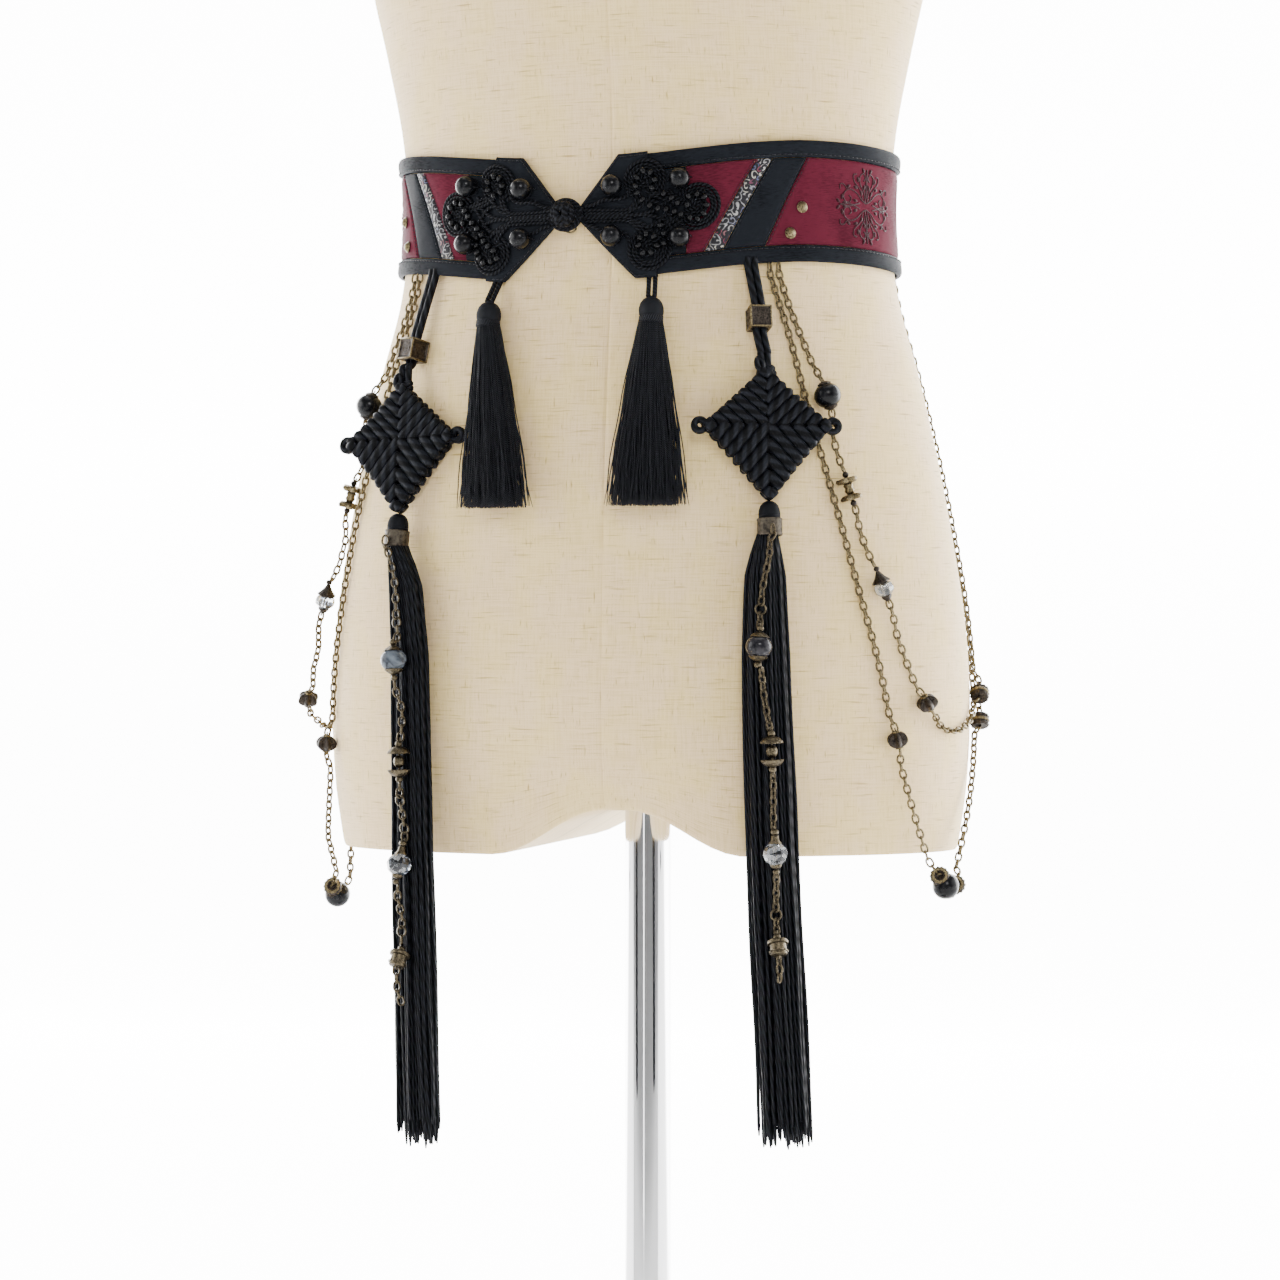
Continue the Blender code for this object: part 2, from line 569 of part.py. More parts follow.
def build_band():
    """The band itself: points, panels, brocade, stripes and the two bindings."""
    for word, side in (("left", -1), ("right", 1)):
        belt_patch("point_" + word, "black_satin", [(a * MM, b * MM) for a, b in ARROW_STATIONS],
                   lambda arc: linear(arc / MM, ARROW_LOW) * MM, lambda arc: linear(arc / MM, ARROW_HIGH) * MM,
                   lambda arc, v: ARROW_INNER,
                   lambda arc, v: ARROW_OUTER if arc / MM < ARROW_STEP[0] + 0.1 else PANEL_OUTER, side=side)
        start = (ARROW_END, ARROW_END)
        panel("front_panel_" + word, "red_satin", start, FRONT_PANEL_END, side)
        panel("brocade_" + word, "brocade", FRONT_PANEL_END, BROCADE_END, side)
        panel("stripe_" + word, "black_satin", BROCADE_END, BLACK_STRIPE_END, side)
        panel("side_panel_" + word, "red_satin", BLACK_STRIPE_END, (SIDE_PANEL_END, SIDE_PANEL_END), side)
    rest = BELT_LENGTH - SIDE_PANEL_END
    panel("back_panel", "red_satin", (SIDE_PANEL_END, SIDE_PANEL_END), (rest, rest))
    inside, outside = PANEL_HALF_HEIGHT + SEAM, BELT_HALF_HEIGHT
    for word, low, high in (("upper", inside, outside), ("lower", -outside, -inside)):
        start = BINDING_STARTS[word]
        around = spaced((start, start), (BELT_LENGTH - start, BELT_LENGTH - start))
        belt_patch("binding_" + word, "black_satin", around, lambda arc, a=low: a,
                   lambda arc, a=high: a, lambda arc, v: BINDING_INNER,
                   lambda arc, v: BINDING_OUTER + BINDING_CROWN * (1 - (2 * v - 1) ** 2), rows=2)


def frog_path():
    """The frog's cord in belt places, from the closure round the three petals and back."""
    path = [(s, h) for s, h in FROG_STEM]
    for centre, height, radius, first, last in FROG_PETALS:
        for i in range(FROG_PETAL_STEPS + 1):
            a = math.radians(first + (last - first) * i / FROG_PETAL_STEPS)
            path.append((centre + radius * math.cos(a), height + radius * math.sin(a)))
    path += [(s, -h) for s, h in reversed(FROG_STEM)]
    return [(s * MM, h * MM) for s, h in path]


def build_frog():
    """Couched cord petals on both points, and the ball knot in its loop between them."""
    for word, side in (("left", -1), ("right", 1)):
        bm = bmesh.new()
        path = frog_path()
        points = [belt_point(side * s, h, belt_surface(s, h) + SEAM + FROG_CORD_RADIUS) for s, h in path]
        sweep(bm, points, [FROG_CORD_RADIUS] * len(points), 5)
        from_bmesh("frog_cord_" + word, bm, "black_cord")
    knot_out = ARROW_OUTER + SEAM + CLOSURE_KNOT_DEPTH
    frame = belt_frame(-1.0 * MM, 0.6 * MM, knot_out) @ Matrix.Rotation(math.radians(90), 4, "X")
    bm = bmesh.new()
    lathe(bm, ball_profile(CLOSURE_KNOT_RADIUS, 7, CLOSURE_KNOT_DEPTH), 12, frame)
    from_bmesh("closure_knot", bm, "black_cord")
    frame = belt_frame(-1.0 * MM, 0.6 * MM, CLOSURE_RING_DEPTH)
    bm = bmesh.new()
    ring = [frame @ Vector((CLOSURE_RING_RADIUS * math.cos(a), 0, CLOSURE_RING_RADIUS * math.sin(a)))
            for a in (2 * math.pi * k / 16 for k in range(16))]
    sweep(bm, ring, [CLOSURE_CORD_RADIUS] * 16, 5, closed=True)
    from_bmesh("closure_loop", bm, "black_cord")


def build_beads():
    """Eight round beads on the points and four domed studs on the side panels."""
    for word, side in (("left", -1), ("right", 1)):
        for place, (s, h) in FRONT_BEADS.items():
            out = belt_surface(s * MM, h * MM) + SEAM + FRONT_BEAD_RADIUS
            frame = belt_frame(side * s * MM, h * MM, out) @ Matrix.Rotation(math.radians(90), 4, "X")
            bm = bmesh.new()
            lathe(bm, ball_profile(FRONT_BEAD_RADIUS, 6), 10, frame)
            from_bmesh(f"bead_{word}_{place}", bm, "black_bead")
        for place, (s, h) in STUDS.items():
            frame = belt_frame(side * s * MM, h * MM, PANEL_OUTER + SEAM + 0.2 * MM)
            frame = frame @ Matrix.Rotation(math.radians(90), 4, "X")
            bm = bmesh.new()
            profile = ((0.0, 0.0), (STUD_RADIUS, 0.0), (STUD_RADIUS * 0.9, STUD_HEIGHT * 0.5),
                       (STUD_RADIUS * 0.55, STUD_HEIGHT * 0.88), (0.0, STUD_HEIGHT))
            lathe(bm, profile, 10, frame)
            from_bmesh(f"stud_{word}_{place}", bm, "antique_brass")


def tassel(name, place, profile, count, spread, opening, foot, line):
    """A tassel of one body: a turned head whose underside carries separate strands.

    place is the head's frame at its top and profile its rows from there down. opening tells, for
    shares of the way to the foot, how far the skirt has opened to spread, its half width and half
    depth; line gives the skirt's middle for a height and the share opened.
    """
    bm = bmesh.new()
    outer = lathe(bm, [(r, -d) for r, d in reversed(profile)], count, place)[0]
    radius, floor = profile[-1][0], -profile[-1][1]

    def circle(share, sides):
        return [bm.verts.new(place @ Vector((share * radius * math.cos(2 * math.pi * k / sides),
                                             share * radius * math.sin(2 * math.pi * k / sides), floor)))
                for k in range(sides)]

    half = count // 2
    first, second, third = circle(0.64, count), circle(0.52, half), circle(0.2, half)
    cells = []
    for k in range(count):
        n = (k + 1) % count
        cells.append(((outer[n], outer[k], first[k], first[n]), 1.0, 2 * math.pi * (k + 0.5) / count))
    for k in range(half):
        n = (k + 1) % half
        bm.faces.new((first[2 * k + 1], first[2 * k], second[k], second[n], first[(2 * k + 2) % count]))
        cells.append(((second[n], second[k], third[k], third[n]), INNER_RING, 2 * math.pi * (k + 0.5) / half))
    bm.faces.new(list(reversed(third)))
    root = place @ Vector((0, 0, floor))
    turn = place.to_3x3()
    for corners, share, angle in cells:
        middle = sum((v.co for v in corners), Vector()) / 4
        ring = [bm.verts.new(middle + 0.78 * (v.co - middle)) for v in corners]
        for k in range(4):
            n = (k + 1) % 4
            bm.faces.new((corners[k], corners[n], ring[n], ring[k]))
        arms = [(v.co - middle).normalized() * STRAND_RADIUS for v in ring]
        reach = turn @ Vector((spread[0] * share * math.cos(angle), spread[1] * share * math.sin(angle), 0))
        for u, opened in opening:
            height = root.z + (foot - root.z) * u
            point = line(height, opened) + (middle - root) * (1 - opened) + reach * opened
            point.z = height
            there = [bm.verts.new(point + arm) for arm in arms]
            for k in range(4):
                n = (k + 1) % 4
                bm.faces.new((ring[k], ring[n], there[n], there[k]))
            ring = there
        bm.faces.new(ring)
    return from_bmesh(name, bm, "black_cord")


def hang_angle(x, height, out):
    """The angle round the form of something that hangs at a distance from its middle plane."""
    return math.asin(x / (form_size(max(height, HIP_HEIGHT), "half_width") + out))


def hang_at(x, height, out):
    """A point that hangs on the form at a distance to the side of its middle plane."""
    return hang_point(hang_angle(x, height, out), height, out)


def blended(start, end, share):
    """A point between two others."""
    return start + (end - start) * min(1.0, max(0.0, share))


def build_short_tassels():
    """A cord loop under each point of the belt with a wrapped tassel in it."""
    wide, r = SHORT_LOOP_HALF_WIDTH, SHORT_LOOP_CORD_RADIUS
    for word, (arc, sway) in SHORT_TASSELS.items():
        top = belt_point(arc, ARROW_LOW[1][1] * MM - SEAM - r, BELT_OUTER - 1.4 * MM)
        place = form_frame(angle_at(arc), top.z - SHORT_LOOP_HEIGHT, SHORT_SKIRT_OUT[0])
        low = place @ Vector((0, 0, SEAM + r))
        along = (place.to_3x3() @ Vector((1, 0, 0))).normalized()
        down = (low - top).normalized()
        ring = []
        for k in range(12):
            a = 2 * math.pi * (k + 0.5) / 12
            middle = top + down * wide if math.sin(a) > 0 else low - down * wide
            ring.append(middle + wide * (math.cos(a) * along - math.sin(a) * down))
        bm = bmesh.new()
        sweep(bm, ring, [r] * len(ring), 5, closed=True)
        from_bmesh("short_loop_" + word, bm, "black_cord")
        root = place @ Vector((0, 0, -SHORT_HEAD[-1][1]))

        def line(height, opened, root=root, sway=sway):
            start = hang_at(root.x, height, SHORT_SKIRT_OUT[0])
            return blended(start, hang_at(root.x + sway, height, SHORT_SKIRT_OUT[1]), opened)

        tassel("short_tassel_" + word, place, SHORT_HEAD, SHORT_STRANDS, SHORT_SPREAD, SHORT_OPENING,
               top.z - SHORT_LOOP_HEIGHT - SHORT_LENGTH, line)


def knot_frame(side_row):
    """The frame of a knotted diamond at its middle."""
    frame = form_frame(math.radians(side_row["knot_angle"]), side_row["knot_height"] * MM,
                       KNOT_BACK + side_row["knot_off"] * MM)
    turned = frame @ Matrix.Rotation(math.radians(-side_row["knot_turn"]), 4, "Z")
    return turned @ Matrix.Rotation(math.radians(-side_row["knot_roll"]), 4, "Y")


def build_knot(word, row):
    """A diamond of knotted cord: ribs square to each edge, a loop at both sides and a wrapped top."""
    frame = knot_frame(row)
    bm = bmesh.new()
    known = {}

    def vertex(x, y, z):
        key = (round(x * 1e7), round(y * 1e7), round(z * 1e7))
        if key not in known:
            known[key] = bm.verts.new(frame @ Vector((x, y, z)))
        return known[key]

    def face(*corners):
        kept = [v for i, v in enumerate(corners) if v not in corners[:i]]
        if len(kept) > 2:
            bm.faces.new(kept)

    count = 2 * KNOT_RIBS
    for sx in (-1, 1):
        for sz, tall in ((1, KNOT_UP), (-1, KNOT_DOWN)):
            normal = Vector((tall, KNOT_HALF_WIDTH)).normalized()
            rows = {"front": [], "back": []}
            for j in range(count + 1):
                u = j / count
                edge = Vector((KNOT_HALF_WIDTH * u, tall * (1 - u)))
                axis = Vector((0, tall * (1 - 2 * u))) if u < 0.5 else Vector((KNOT_HALF_WIDTH * (2 * u - 1), 0))
                crest = j % 2 == 1
                near = edge + 0.16 * (axis - edge)
                if 0 < j < count:
                    edge = edge + normal * (KNOT_SCALLOP * (0.5 if crest else -0.5))
                for layer, depth in (("front", -(KNOT_CREST if crest else KNOT_VALLEY) + KNOT_BACK),
                                     ("back", KNOT_BACK if crest else KNOT_BACK - 1.0 * MM)):
                    inner = depth * (0.9 if layer == "front" else 1.0)
                    if j in (0, count):
                        rows[layer].append((vertex(sx * edge.x, 0, sz * edge.y),) * 3)
                    else:
                        rows[layer].append((vertex(sx * edge.x, 0, sz * edge.y),
                                            vertex(sx * near.x, depth, sz * near.y),
                                            vertex(sx * axis.x, inner, sz * axis.y)))
            for layer in rows.values():
                for a, b in zip(layer, layer[1:]):
                    face(a[0], b[0], b[1], a[1])
                    face(a[1], b[1], b[2], a[2])
    knot = from_bmesh("knot_" + word, bm, "black_cord")
    for sx in (-1, 1):
        ear = bmesh.new()
        middle = KNOT_HALF_WIDTH + 0.55 * KNOT_EAR_RADIUS
        ring = [frame @ Vector((sx * middle + KNOT_EAR_RADIUS * math.cos(a), 0, KNOT_EAR_RADIUS * math.sin(a)))
                for a in (2 * math.pi * (k + 0.25) / 12 for k in range(12))]
        sweep(ear, ring, [KNOT_EAR_CORD] * 12, 5, closed=True)
        bmesh.ops.recalc_face_normals(ear, faces=ear.faces)
        combine(knot, ear, "UNION", f"knot_loop_{word}_{'left' if sx < 0 else 'right'}")
    top = bmesh.new()
    wide, deep, tall = KNOT_TOP_SIZE
    place = frame @ Matrix.Translation((0, 0, KNOT_UP + 1.5 * MM)) @ Matrix.Rotation(math.radians(9), 4, "Z")
    lathe(top, ball_profile(wide, 6, tall), 10, place, squash=deep / wide)
    bmesh.ops.recalc_face_normals(top, faces=top.faces)
    combine(knot, top, "UNION", "knot_top_" + word)
    return knot


def build_hanging():
    """On each side a doubled cord through a cube bead, the knotted diamond and a long tassel."""
    for word, row in HANGING.items():
        angle = math.radians(row["cord_angle"])
        arc = arc_at(angle)
        top = middle_height(arc) - BELT_HALF_HEIGHT - SEAM
        cube = form_frame(math.radians(row["cube_angle"]), row["cube_height"] * MM, CUBE_DEPTH)
        knot = knot_frame(row)
        gap = CORD_RADIUS + 0.2 * MM
        head = form_frame(angle, top - CORD_RADIUS - gap, CORD_TOP_OUT)
        neck = knot.copy()
        neck.translation = knot @ Vector((0, 0, KNOT_UP + 1.5 * MM + KNOT_TOP_SIZE[2] + SEAM))
        stations = [head, cube @ Matrix.Translation((0, 0, 0.5 * CUBE_SIDE + 1 * MM)),
                    cube @ Matrix.Translation((0, 0, -0.5 * CUBE_SIDE - 1 * MM)),
                    neck @ Matrix.Translation((0, 0, 1 * MM)), neck]
        left = [m @ Vector((-gap, 0, 0)) for m in stations]
        right = [m @ Vector((gap, 0, 0)) for m in stations]
        fold = [head @ Vector((-gap * math.cos(a), 0, gap * math.sin(a)))
                for a in (math.pi * k / 6 for k in range(1, 6))]
        path = list(reversed(left)) + fold + right
        bm = bmesh.new()
        sweep(bm, path, [CORD_RADIUS] * len(path), 8)
        from_bmesh("cord_" + word, bm, "black_cord")

        bm = bmesh.new()
        bmesh.ops.create_cube(bm, size=CUBE_SIDE, matrix=cube)
        bmesh.ops.bevel(bm, geom=list(bm.edges), offset=0.7 * MM, segments=1, affect="EDGES")
        bead = from_bmesh("cube_bead_" + word, bm, "antique_brass")
        hole = bmesh.new()
        lathe(hole, ((0.0, -CUBE_SIDE), (CUBE_HOLE[0] / 2, -CUBE_SIDE), (CUBE_HOLE[0] / 2, CUBE_SIDE),
                     (0.0, CUBE_SIDE)), 16, cube, squash=CUBE_HOLE[1] / CUBE_HOLE[0])
        bmesh.ops.recalc_face_normals(hole, faces=hole.faces)
        combine(bead, hole, "DIFFERENCE", "cube_hole_" + word)

        build_knot(word, row)
        tip = knot @ Vector((0, 0, -KNOT_DOWN - SEAM))
        out = LONG_HEAD_OUT + row["knot_off"] * MM
        place = form_frame(hang_angle(tip.x, tip.z, out), tip.z, out)
        place.translation = tip
        band_top = -DOME_HEIGHT - SEAM
        bm = bmesh.new()
        lathe(bm, ((BAND_RADIUS - BAND_WALL, band_top - BAND_HEIGHT), (BAND_RADIUS, band_top - BAND_HEIGHT),
                   (BAND_RADIUS, band_top), (BAND_RADIUS - BAND_WALL, band_top)), 16, place, closed=True)
        from_bmesh("band_" + word, bm, "antique_brass")
        root = place @ Vector((0, 0, -LONG_HEAD[-1][1]))

        def line(height, opened, root=root, out=out, row=row):
            hung = hang_at(linear(height / MM, row["tassel_line"]) * MM, height, LONG_SKIRT_OUT)
            return blended(hang_at(root.x, height, out), hung, opened * 1.25)

        tassel("long_tassel_" + word, place, LONG_HEAD, LONG_STRANDS, LONG_SPREAD, LONG_OPENING,
               row["end_height"] * MM, line)
        build_pendant(word, row, place, line, root)


def bead_bulge(place, beads, chain):
    """Radius of a chain at a place along it, in metres, with its beads."""
    radius = chain
    for centre, wide, half in beads:
        off = abs(place - centre) / half
        if off < 1:
            radius = max(radius, wide * math.sqrt(max(0.0, 1 - 0.93 * off * off)))
    return radius


def lift(place, beads, chain):
    """How far the middle of a chain stands off for its beads, easing along the chain."""
    raised = chain
    for centre, wide, half in beads:
        off = abs(place - centre)
        ease = max(0.0, 1 - max(0.0, off - half) / (2.5 * half))
        raised = max(raised, chain + (wide - chain) * ease * ease * (3 - 2 * ease))
    return raised


def chain_places(length, beads, step):
    """Places along a chain: even steps, and closer ones over each bead."""
    places = [k * length / round(length / step) for k in range(round(length / step) + 1)]
    for centre, _, half in beads:
        places = [x for x in places if abs(x - centre) > half + 2 * MM]
        places += [centre + half * k for k in (-1.02, -0.9, -0.5, 0.5, 0.9, 1.02)]
    return sorted(places)


def build_pendant(word, row, place, line, root):
    """The beaded chain that hangs from the band down the front of a long tassel."""
    beads = [(share * PENDANT_LENGTH[word], r * MM, half * MM) for share, r, half in PENDANT_BEADS[word]]
    places = chain_places(PENDANT_LENGTH[word], beads, CHAIN_STEP)
    rise = LONG_HEAD[-1][1] - DOME_HEIGHT - 0.5 * BAND_HEIGHT
    points = []
    for x in places:
        raised = lift(x, beads, CHAIN_RADIUS)
        if x < rise + 1 * MM:
            points.append(place @ Vector((0, -BAND_RADIUS - SEAM - raised, rise - LONG_HEAD[-1][1] - x)))
            continue
        z = root.z + rise - x
        opened = linear((x - rise) / (root.z - row["end_height"] * MM), LONG_OPENING_FULL)
        middle = line(z, opened)
        angle = hang_angle(middle.x, z, LONG_SKIRT_OUT)
        normal = on_form(angle, max(z, HIP_HEIGHT), 1.0) - on_form(angle, max(z, HIP_HEIGHT))
        front = LONG_HEAD[-1][0] + (LONG_SPREAD[1] - LONG_HEAD[-1][0]) * opened + STRAND_RADIUS
        shift = Vector((linear(z / MM, row["pendant_shift"]) * MM, 0, 0))
        points.append(middle + shift + normal * (front + PENDANT_OUT + raised))
    bm = bmesh.new()
    sweep(bm, points, [bead_bulge(x, beads, CHAIN_RADIUS) for x in places], 6)
    from_bmesh("pendant_chain_" + word, bm, "antique_brass")


def smooth_route(rows, steps=12):
    """A smooth curve through (angle, height) rows."""
    route = []
    for i in range(len(rows) - 1):
        a, b, c, d = (rows[max(i - 1, 0)], rows[i], rows[i + 1], rows[min(i + 2, len(rows) - 1)])
        for k in range(steps):
            u = k / steps
            route.append(tuple(0.5 * (2 * q + (r - p) * u + (2 * p - 5 * q + 4 * r - s) * u**2
                                      + (3 * q - p - 3 * r + s) * u**3) for p, q, r, s in zip(a, b, c, d)))
    route.append(rows[-1])
    return route


def build_chain(name, rows, beads, side, swing):
    """A chain with beads that hangs under the belt from the front to the back of one side."""
    route = smooth_route(rows)
    angles = [math.radians(CLOSURE_ANGLE + side * angle) for angle, _ in route]
    ground = [hang_point(t, z * MM, 4 * MM) for t, (_, z) in zip(angles, route)]
    along = [0.0]
    for a, b in zip(ground, ground[1:]):
        along.append(along[-1] + (b - a).length)
    length = along[-1]
    placed = [(share * length, r * MM, half * MM) for share, r, half in beads]
    points, radii = [], []
    for x in chain_places(length, placed, CHAIN_STEP):
        i = min(max(bisect.bisect_right(along, x) - 1, 0), len(along) - 2)
        u = (x - along[i]) / (along[i + 1] - along[i])
        t = angles[i] + (angles[i + 1] - angles[i]) * u
        z = (route[i][1] + (route[i + 1][1] - route[i][1]) * u) * MM
        turn = route[i][0] + (route[i + 1][0] - route[i][0]) * u
        points.append(hang_point(t, z, CHAIN_CLEARANCE + linear(turn, swing) * MM + lift(x, placed, CHAIN_RADIUS)))
        radii.append(bead_bulge(x, placed, CHAIN_RADIUS))
    bm = bmesh.new()
    sweep(bm, points, radii, 5)
    from_bmesh(name, bm, "antique_brass")


def build_part():
    """Clears the scene and builds every piece."""
    for old in list(bpy.data.objects):
        bpy.data.objects.remove(old, do_unlink=True)
    for name in ("obi_belt", "cutters"):
        made = bpy.data.collections.new(name)
        bpy.context.scene.collection.children.link(made)
    build_form()
    build_stand()
    build_band()
    build_frog()
    build_beads()
    build_short_tassels()
    build_hanging()
    for word, side in (("left", -1), ("right", 1)):
        build_chain("upper_chain_" + word, UPPER_CHAIN[word], UPPER_BEADS[word], side, UPPER_SWING[word])
        build_chain("lower_chain_" + word, LOWER_CHAIN[word], LOWER_BEADS[word], side, LOWER_SWING[word])
    bpy.data.collections["cutters"].hide_render = True


build_part()
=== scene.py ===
"""The looks of an obi belt worn by a dress form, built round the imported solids."""
import bisect
import math
import random

import bmesh
import bpy
import numpy as np
from mathutils import Matrix, Vector


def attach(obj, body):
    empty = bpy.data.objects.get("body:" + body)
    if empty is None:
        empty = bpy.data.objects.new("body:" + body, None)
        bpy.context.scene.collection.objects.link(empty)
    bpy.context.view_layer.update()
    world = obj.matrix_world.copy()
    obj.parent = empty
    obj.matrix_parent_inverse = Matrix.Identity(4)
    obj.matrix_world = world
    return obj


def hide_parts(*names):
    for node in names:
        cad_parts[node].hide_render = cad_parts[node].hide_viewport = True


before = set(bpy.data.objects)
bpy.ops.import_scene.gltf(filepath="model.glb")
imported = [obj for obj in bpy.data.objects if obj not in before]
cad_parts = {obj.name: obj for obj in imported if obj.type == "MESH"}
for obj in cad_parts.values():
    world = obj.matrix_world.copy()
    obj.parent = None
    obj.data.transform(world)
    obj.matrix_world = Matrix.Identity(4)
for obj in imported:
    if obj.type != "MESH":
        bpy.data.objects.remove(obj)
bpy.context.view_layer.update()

# Camera. It stands level with the form's hips, a little to the form's left, with a long lens,
# as in the picture.
eye_turn, eye_distance, eye_height = math.radians(12), 2.0, 0.790
lens_length, film_width, film_shift = 112.5, 36, -0.00625


def add_object(name, data):
    """A new object in the scene."""
    made = bpy.data.objects.new(name, data)
    bpy.context.scene.collection.objects.link(made)
    return made


studio_camera = add_object("studio_camera", bpy.data.cameras.new("studio_camera"))
studio_camera.location = (eye_distance * math.sin(eye_turn), -eye_distance * math.cos(eye_turn), eye_height)
studio_camera.rotation_euler = (math.radians(90), 0, eye_turn)
studio_camera.data.lens, studio_camera.data.sensor_width = lens_length, film_width
studio_camera.data.shift_x = film_shift
bpy.context.scene.camera = studio_camera

# Studio. A pale floor curves up behind the form into a backdrop that glows, and large soft lights
# stand in front, above, and at both sides a little behind the form. Far in front of the form the
# floor's colour is painted darker, as painted shade.
floor_half, sweep_start, sweep_radius, backdrop_top, floor_drop = 18.0, 5.8, 1.2, 9.0, 0.0005
paper_white, white = (0.93, 0.93, 0.925), (1.0, 1.0, 1.0)
lights = (("light_left", (-2.2, -1.0, 1.5), (0, 0, 0.85), 1.5, 1.5, 40),
          ("light_right", (2.2, 0.5, 1.3), (0, 0, 0.85), 1.4, 1.4, 8),
          ("light_front", (0.9, -2.6, 2.3), (0, 0, 0.9), 0.8, 0.8, 44),
          ("light_strip", (-0.42, -2.7, 1.2), (0, 0, 1.2), 0.25, 2.2, 9),
          ("wall_left", (-2.05, 0.75, 1.32), (0, 0.75, 1.32), 3.3, 2.55, 72),
          ("wall_right", (1.85, 0.75, 1.32), (0, 0.75, 1.32), 3.3, 2.55, 72),
          ("light_top", (0, 0.3, 3.0), (0, 0, 0.8), 1.8, 1.8, 34))


def studio_sweep():
    """The floor and the backdrop as one curved sheet."""
    bend = [math.radians(6 * k) for k in range(1, 16)]
    rows = [(-floor_half, 0.0), (sweep_start, 0.0)]
    rows += [(sweep_start + sweep_radius * math.sin(a), sweep_radius * (1 - math.cos(a))) for a in bend]
    rows.append((sweep_start + sweep_radius, backdrop_top))
    points = [(x, y, z - floor_drop) for y, z in rows for x in (-floor_half, floor_half)]
    return points, [(2 * i, 2 * i + 1, 2 * i + 3, 2 * i + 2) for i in range(len(rows) - 1)]


def soft_light(name, place, aim, wide, tall, power):
    """A soft light, so wide and so tall, aimed at a point."""
    lamp = bpy.data.lights.new(name, "AREA")
    lamp.shape, lamp.size, lamp.size_y, lamp.energy = "RECTANGLE", wide, tall, power
    held = add_object(name, lamp)
    held.location = place
    held.rotation_euler = (Vector(aim) - Vector(place)).to_track_quat("-Z", "Y").to_euler()
    held.visible_camera = False


def new_finish(name, colour, roughness, metallic=0.0, more=None):
    """A Principled finish; returns the material and its shader."""
    made = bpy.data.materials.new(name)
    made.use_nodes = True
    made.diffuse_color = (*colour, 1)
    shader = made.node_tree.nodes["Principled BSDF"]
    values = {"Base Color": (*colour, 1), "Roughness": roughness, "Metallic": metallic, **(more or {})}
    for socket, value in values.items():
        shader.inputs[socket].default_value = value
    return made, shader


def add_node(shader, kind, inputs=None, **settings):
    """A node beside a shader; its inputs are numbers, colours or other nodes' outputs."""
    tree = shader.id_data
    node = tree.nodes.new("ShaderNode" + kind)
    for key, value in settings.items():
        setattr(node, key, value)
    for key, value in (inputs or {}).items():
        if isinstance(value, bpy.types.NodeSocket):
            tree.links.new(value, node.inputs[key])
        else:
            node.inputs[key].default_value = value
    return node


def ramp(shader, value, *stops):
    """A colour ramp on a value; each stop is a place and a colour or a grey."""
    node = add_node(shader, "ValToRGB", {"Fac": value})
    marks = node.color_ramp.elements
    while len(marks) < len(stops):
        marks.new(0.5)
    for mark, (place, tone) in zip(marks, stops):
        mark.position = place
        mark.color = (*tone, 1) if isinstance(tone, tuple) else (tone, tone, tone, 1)
    return node.outputs["Color"]


def drive(shader, socket, value, *stops):
    """Lead a value to a socket of the finish, through a colour ramp where stops are given."""
    shader.id_data.links.new(ramp(shader, value, *stops) if stops else value, shader.inputs[socket])


floor_mesh = bpy.data.meshes.new("studio_floor")
floor_points, floor_faces = studio_sweep()
floor_mesh.from_pydata(floor_points, [], floor_faces)
floor_mesh.shade_smooth()
paper, shader = new_finish("backdrop_paper", paper_white, 0.9, more={"Emission Color": (*white, 1)})
spot = add_node(shader, "NewGeometry").outputs["Position"]
depth = add_node(shader, "SeparateXYZ", {"Vector": spot}).outputs["Y"]
glow = add_node(shader, "MapRange", {"Value": depth, "From Min": 1.6, "From Max": 2.6,
                                     "To Min": 0.05, "To Max": 10.0})
drive(shader, "Emission Strength", glow.outputs[0])
# Painted shade: the floor's colour darkens far in front of the form, where it lies away from the lights.
near = add_node(shader, "MapRange", {"Value": depth, "From Min": -4.2, "From Max": -2.8})
drive(shader, "Base Color", near.outputs[0], (0.0, 0.36), (1.0, paper_white))
floor_mesh.materials.append(paper)
add_object("studio_floor", floor_mesh)
for row in lights:
    soft_light(*row)
world = bpy.data.worlds.new("studio_air")
world.use_nodes = True
world.node_tree.nodes["Background"].inputs["Color"].default_value = (*white, 1)
world.node_tree.nodes["Background"].inputs["Strength"].default_value = 0.36
bpy.context.scene.world = world

# Stand. A chromed steel tube stands in the collar of a heavy round base. The base is a spun steel
# dish, polished and chromed, with a turned collar welded to its middle.
mm = 0.001
full_turn = 2 * math.pi
base_rows = ((0, 0), (189.2, 0), (190, 0.8), (190, 3.6), (189.4, 5.2), (188, 6.2), (184, 7.4), (150, 8.3),
             (90, 9.6),
             (36, 10.8), (27, 12.4), (23.4, 15.5), (21.3, 22), (21, 41), (20.6, 42.2), (19.6, 42.9), (18, 43),
             (12.6, 43), (11.9, 42.4), (11.8, 24), (0, 9))
pole_rows = ((0, 9.3), (11.5, 9.3), (11.5, 760), (11.5, 766), (10.5, 769), (0, 769))


def turn_on_lathe(rows, sides, place=None, lobes=0, lobe_depth=0.0):
    """Points and faces of a body turned round Z from (radius, height) rows in millimetres."""
    place = place or Matrix.Identity(4)
    points, faces, rings = [], [], []
    for radius, height in rows:
        count = 1 if radius < 1e-4 else sides
        rings.append(range(len(points), len(points) + count))
        for k in range(count):
            a = full_turn * k / sides
            r = radius * mm * (1 + lobe_depth * math.cos(lobes * a))
            points.append(place @ Vector((r * math.cos(a), r * math.sin(a), height * mm)))
    for low, high in zip(rings, rings[1:]):
        for k in range(sides):
            n = (k + 1) % sides
            ring = (low[k % len(low)], low[n % len(low)], high[n % len(high)], high[k % len(high)])
            faces.append(tuple(dict.fromkeys(ring)))
    return points, [f for f in faces if len(f) > 2]


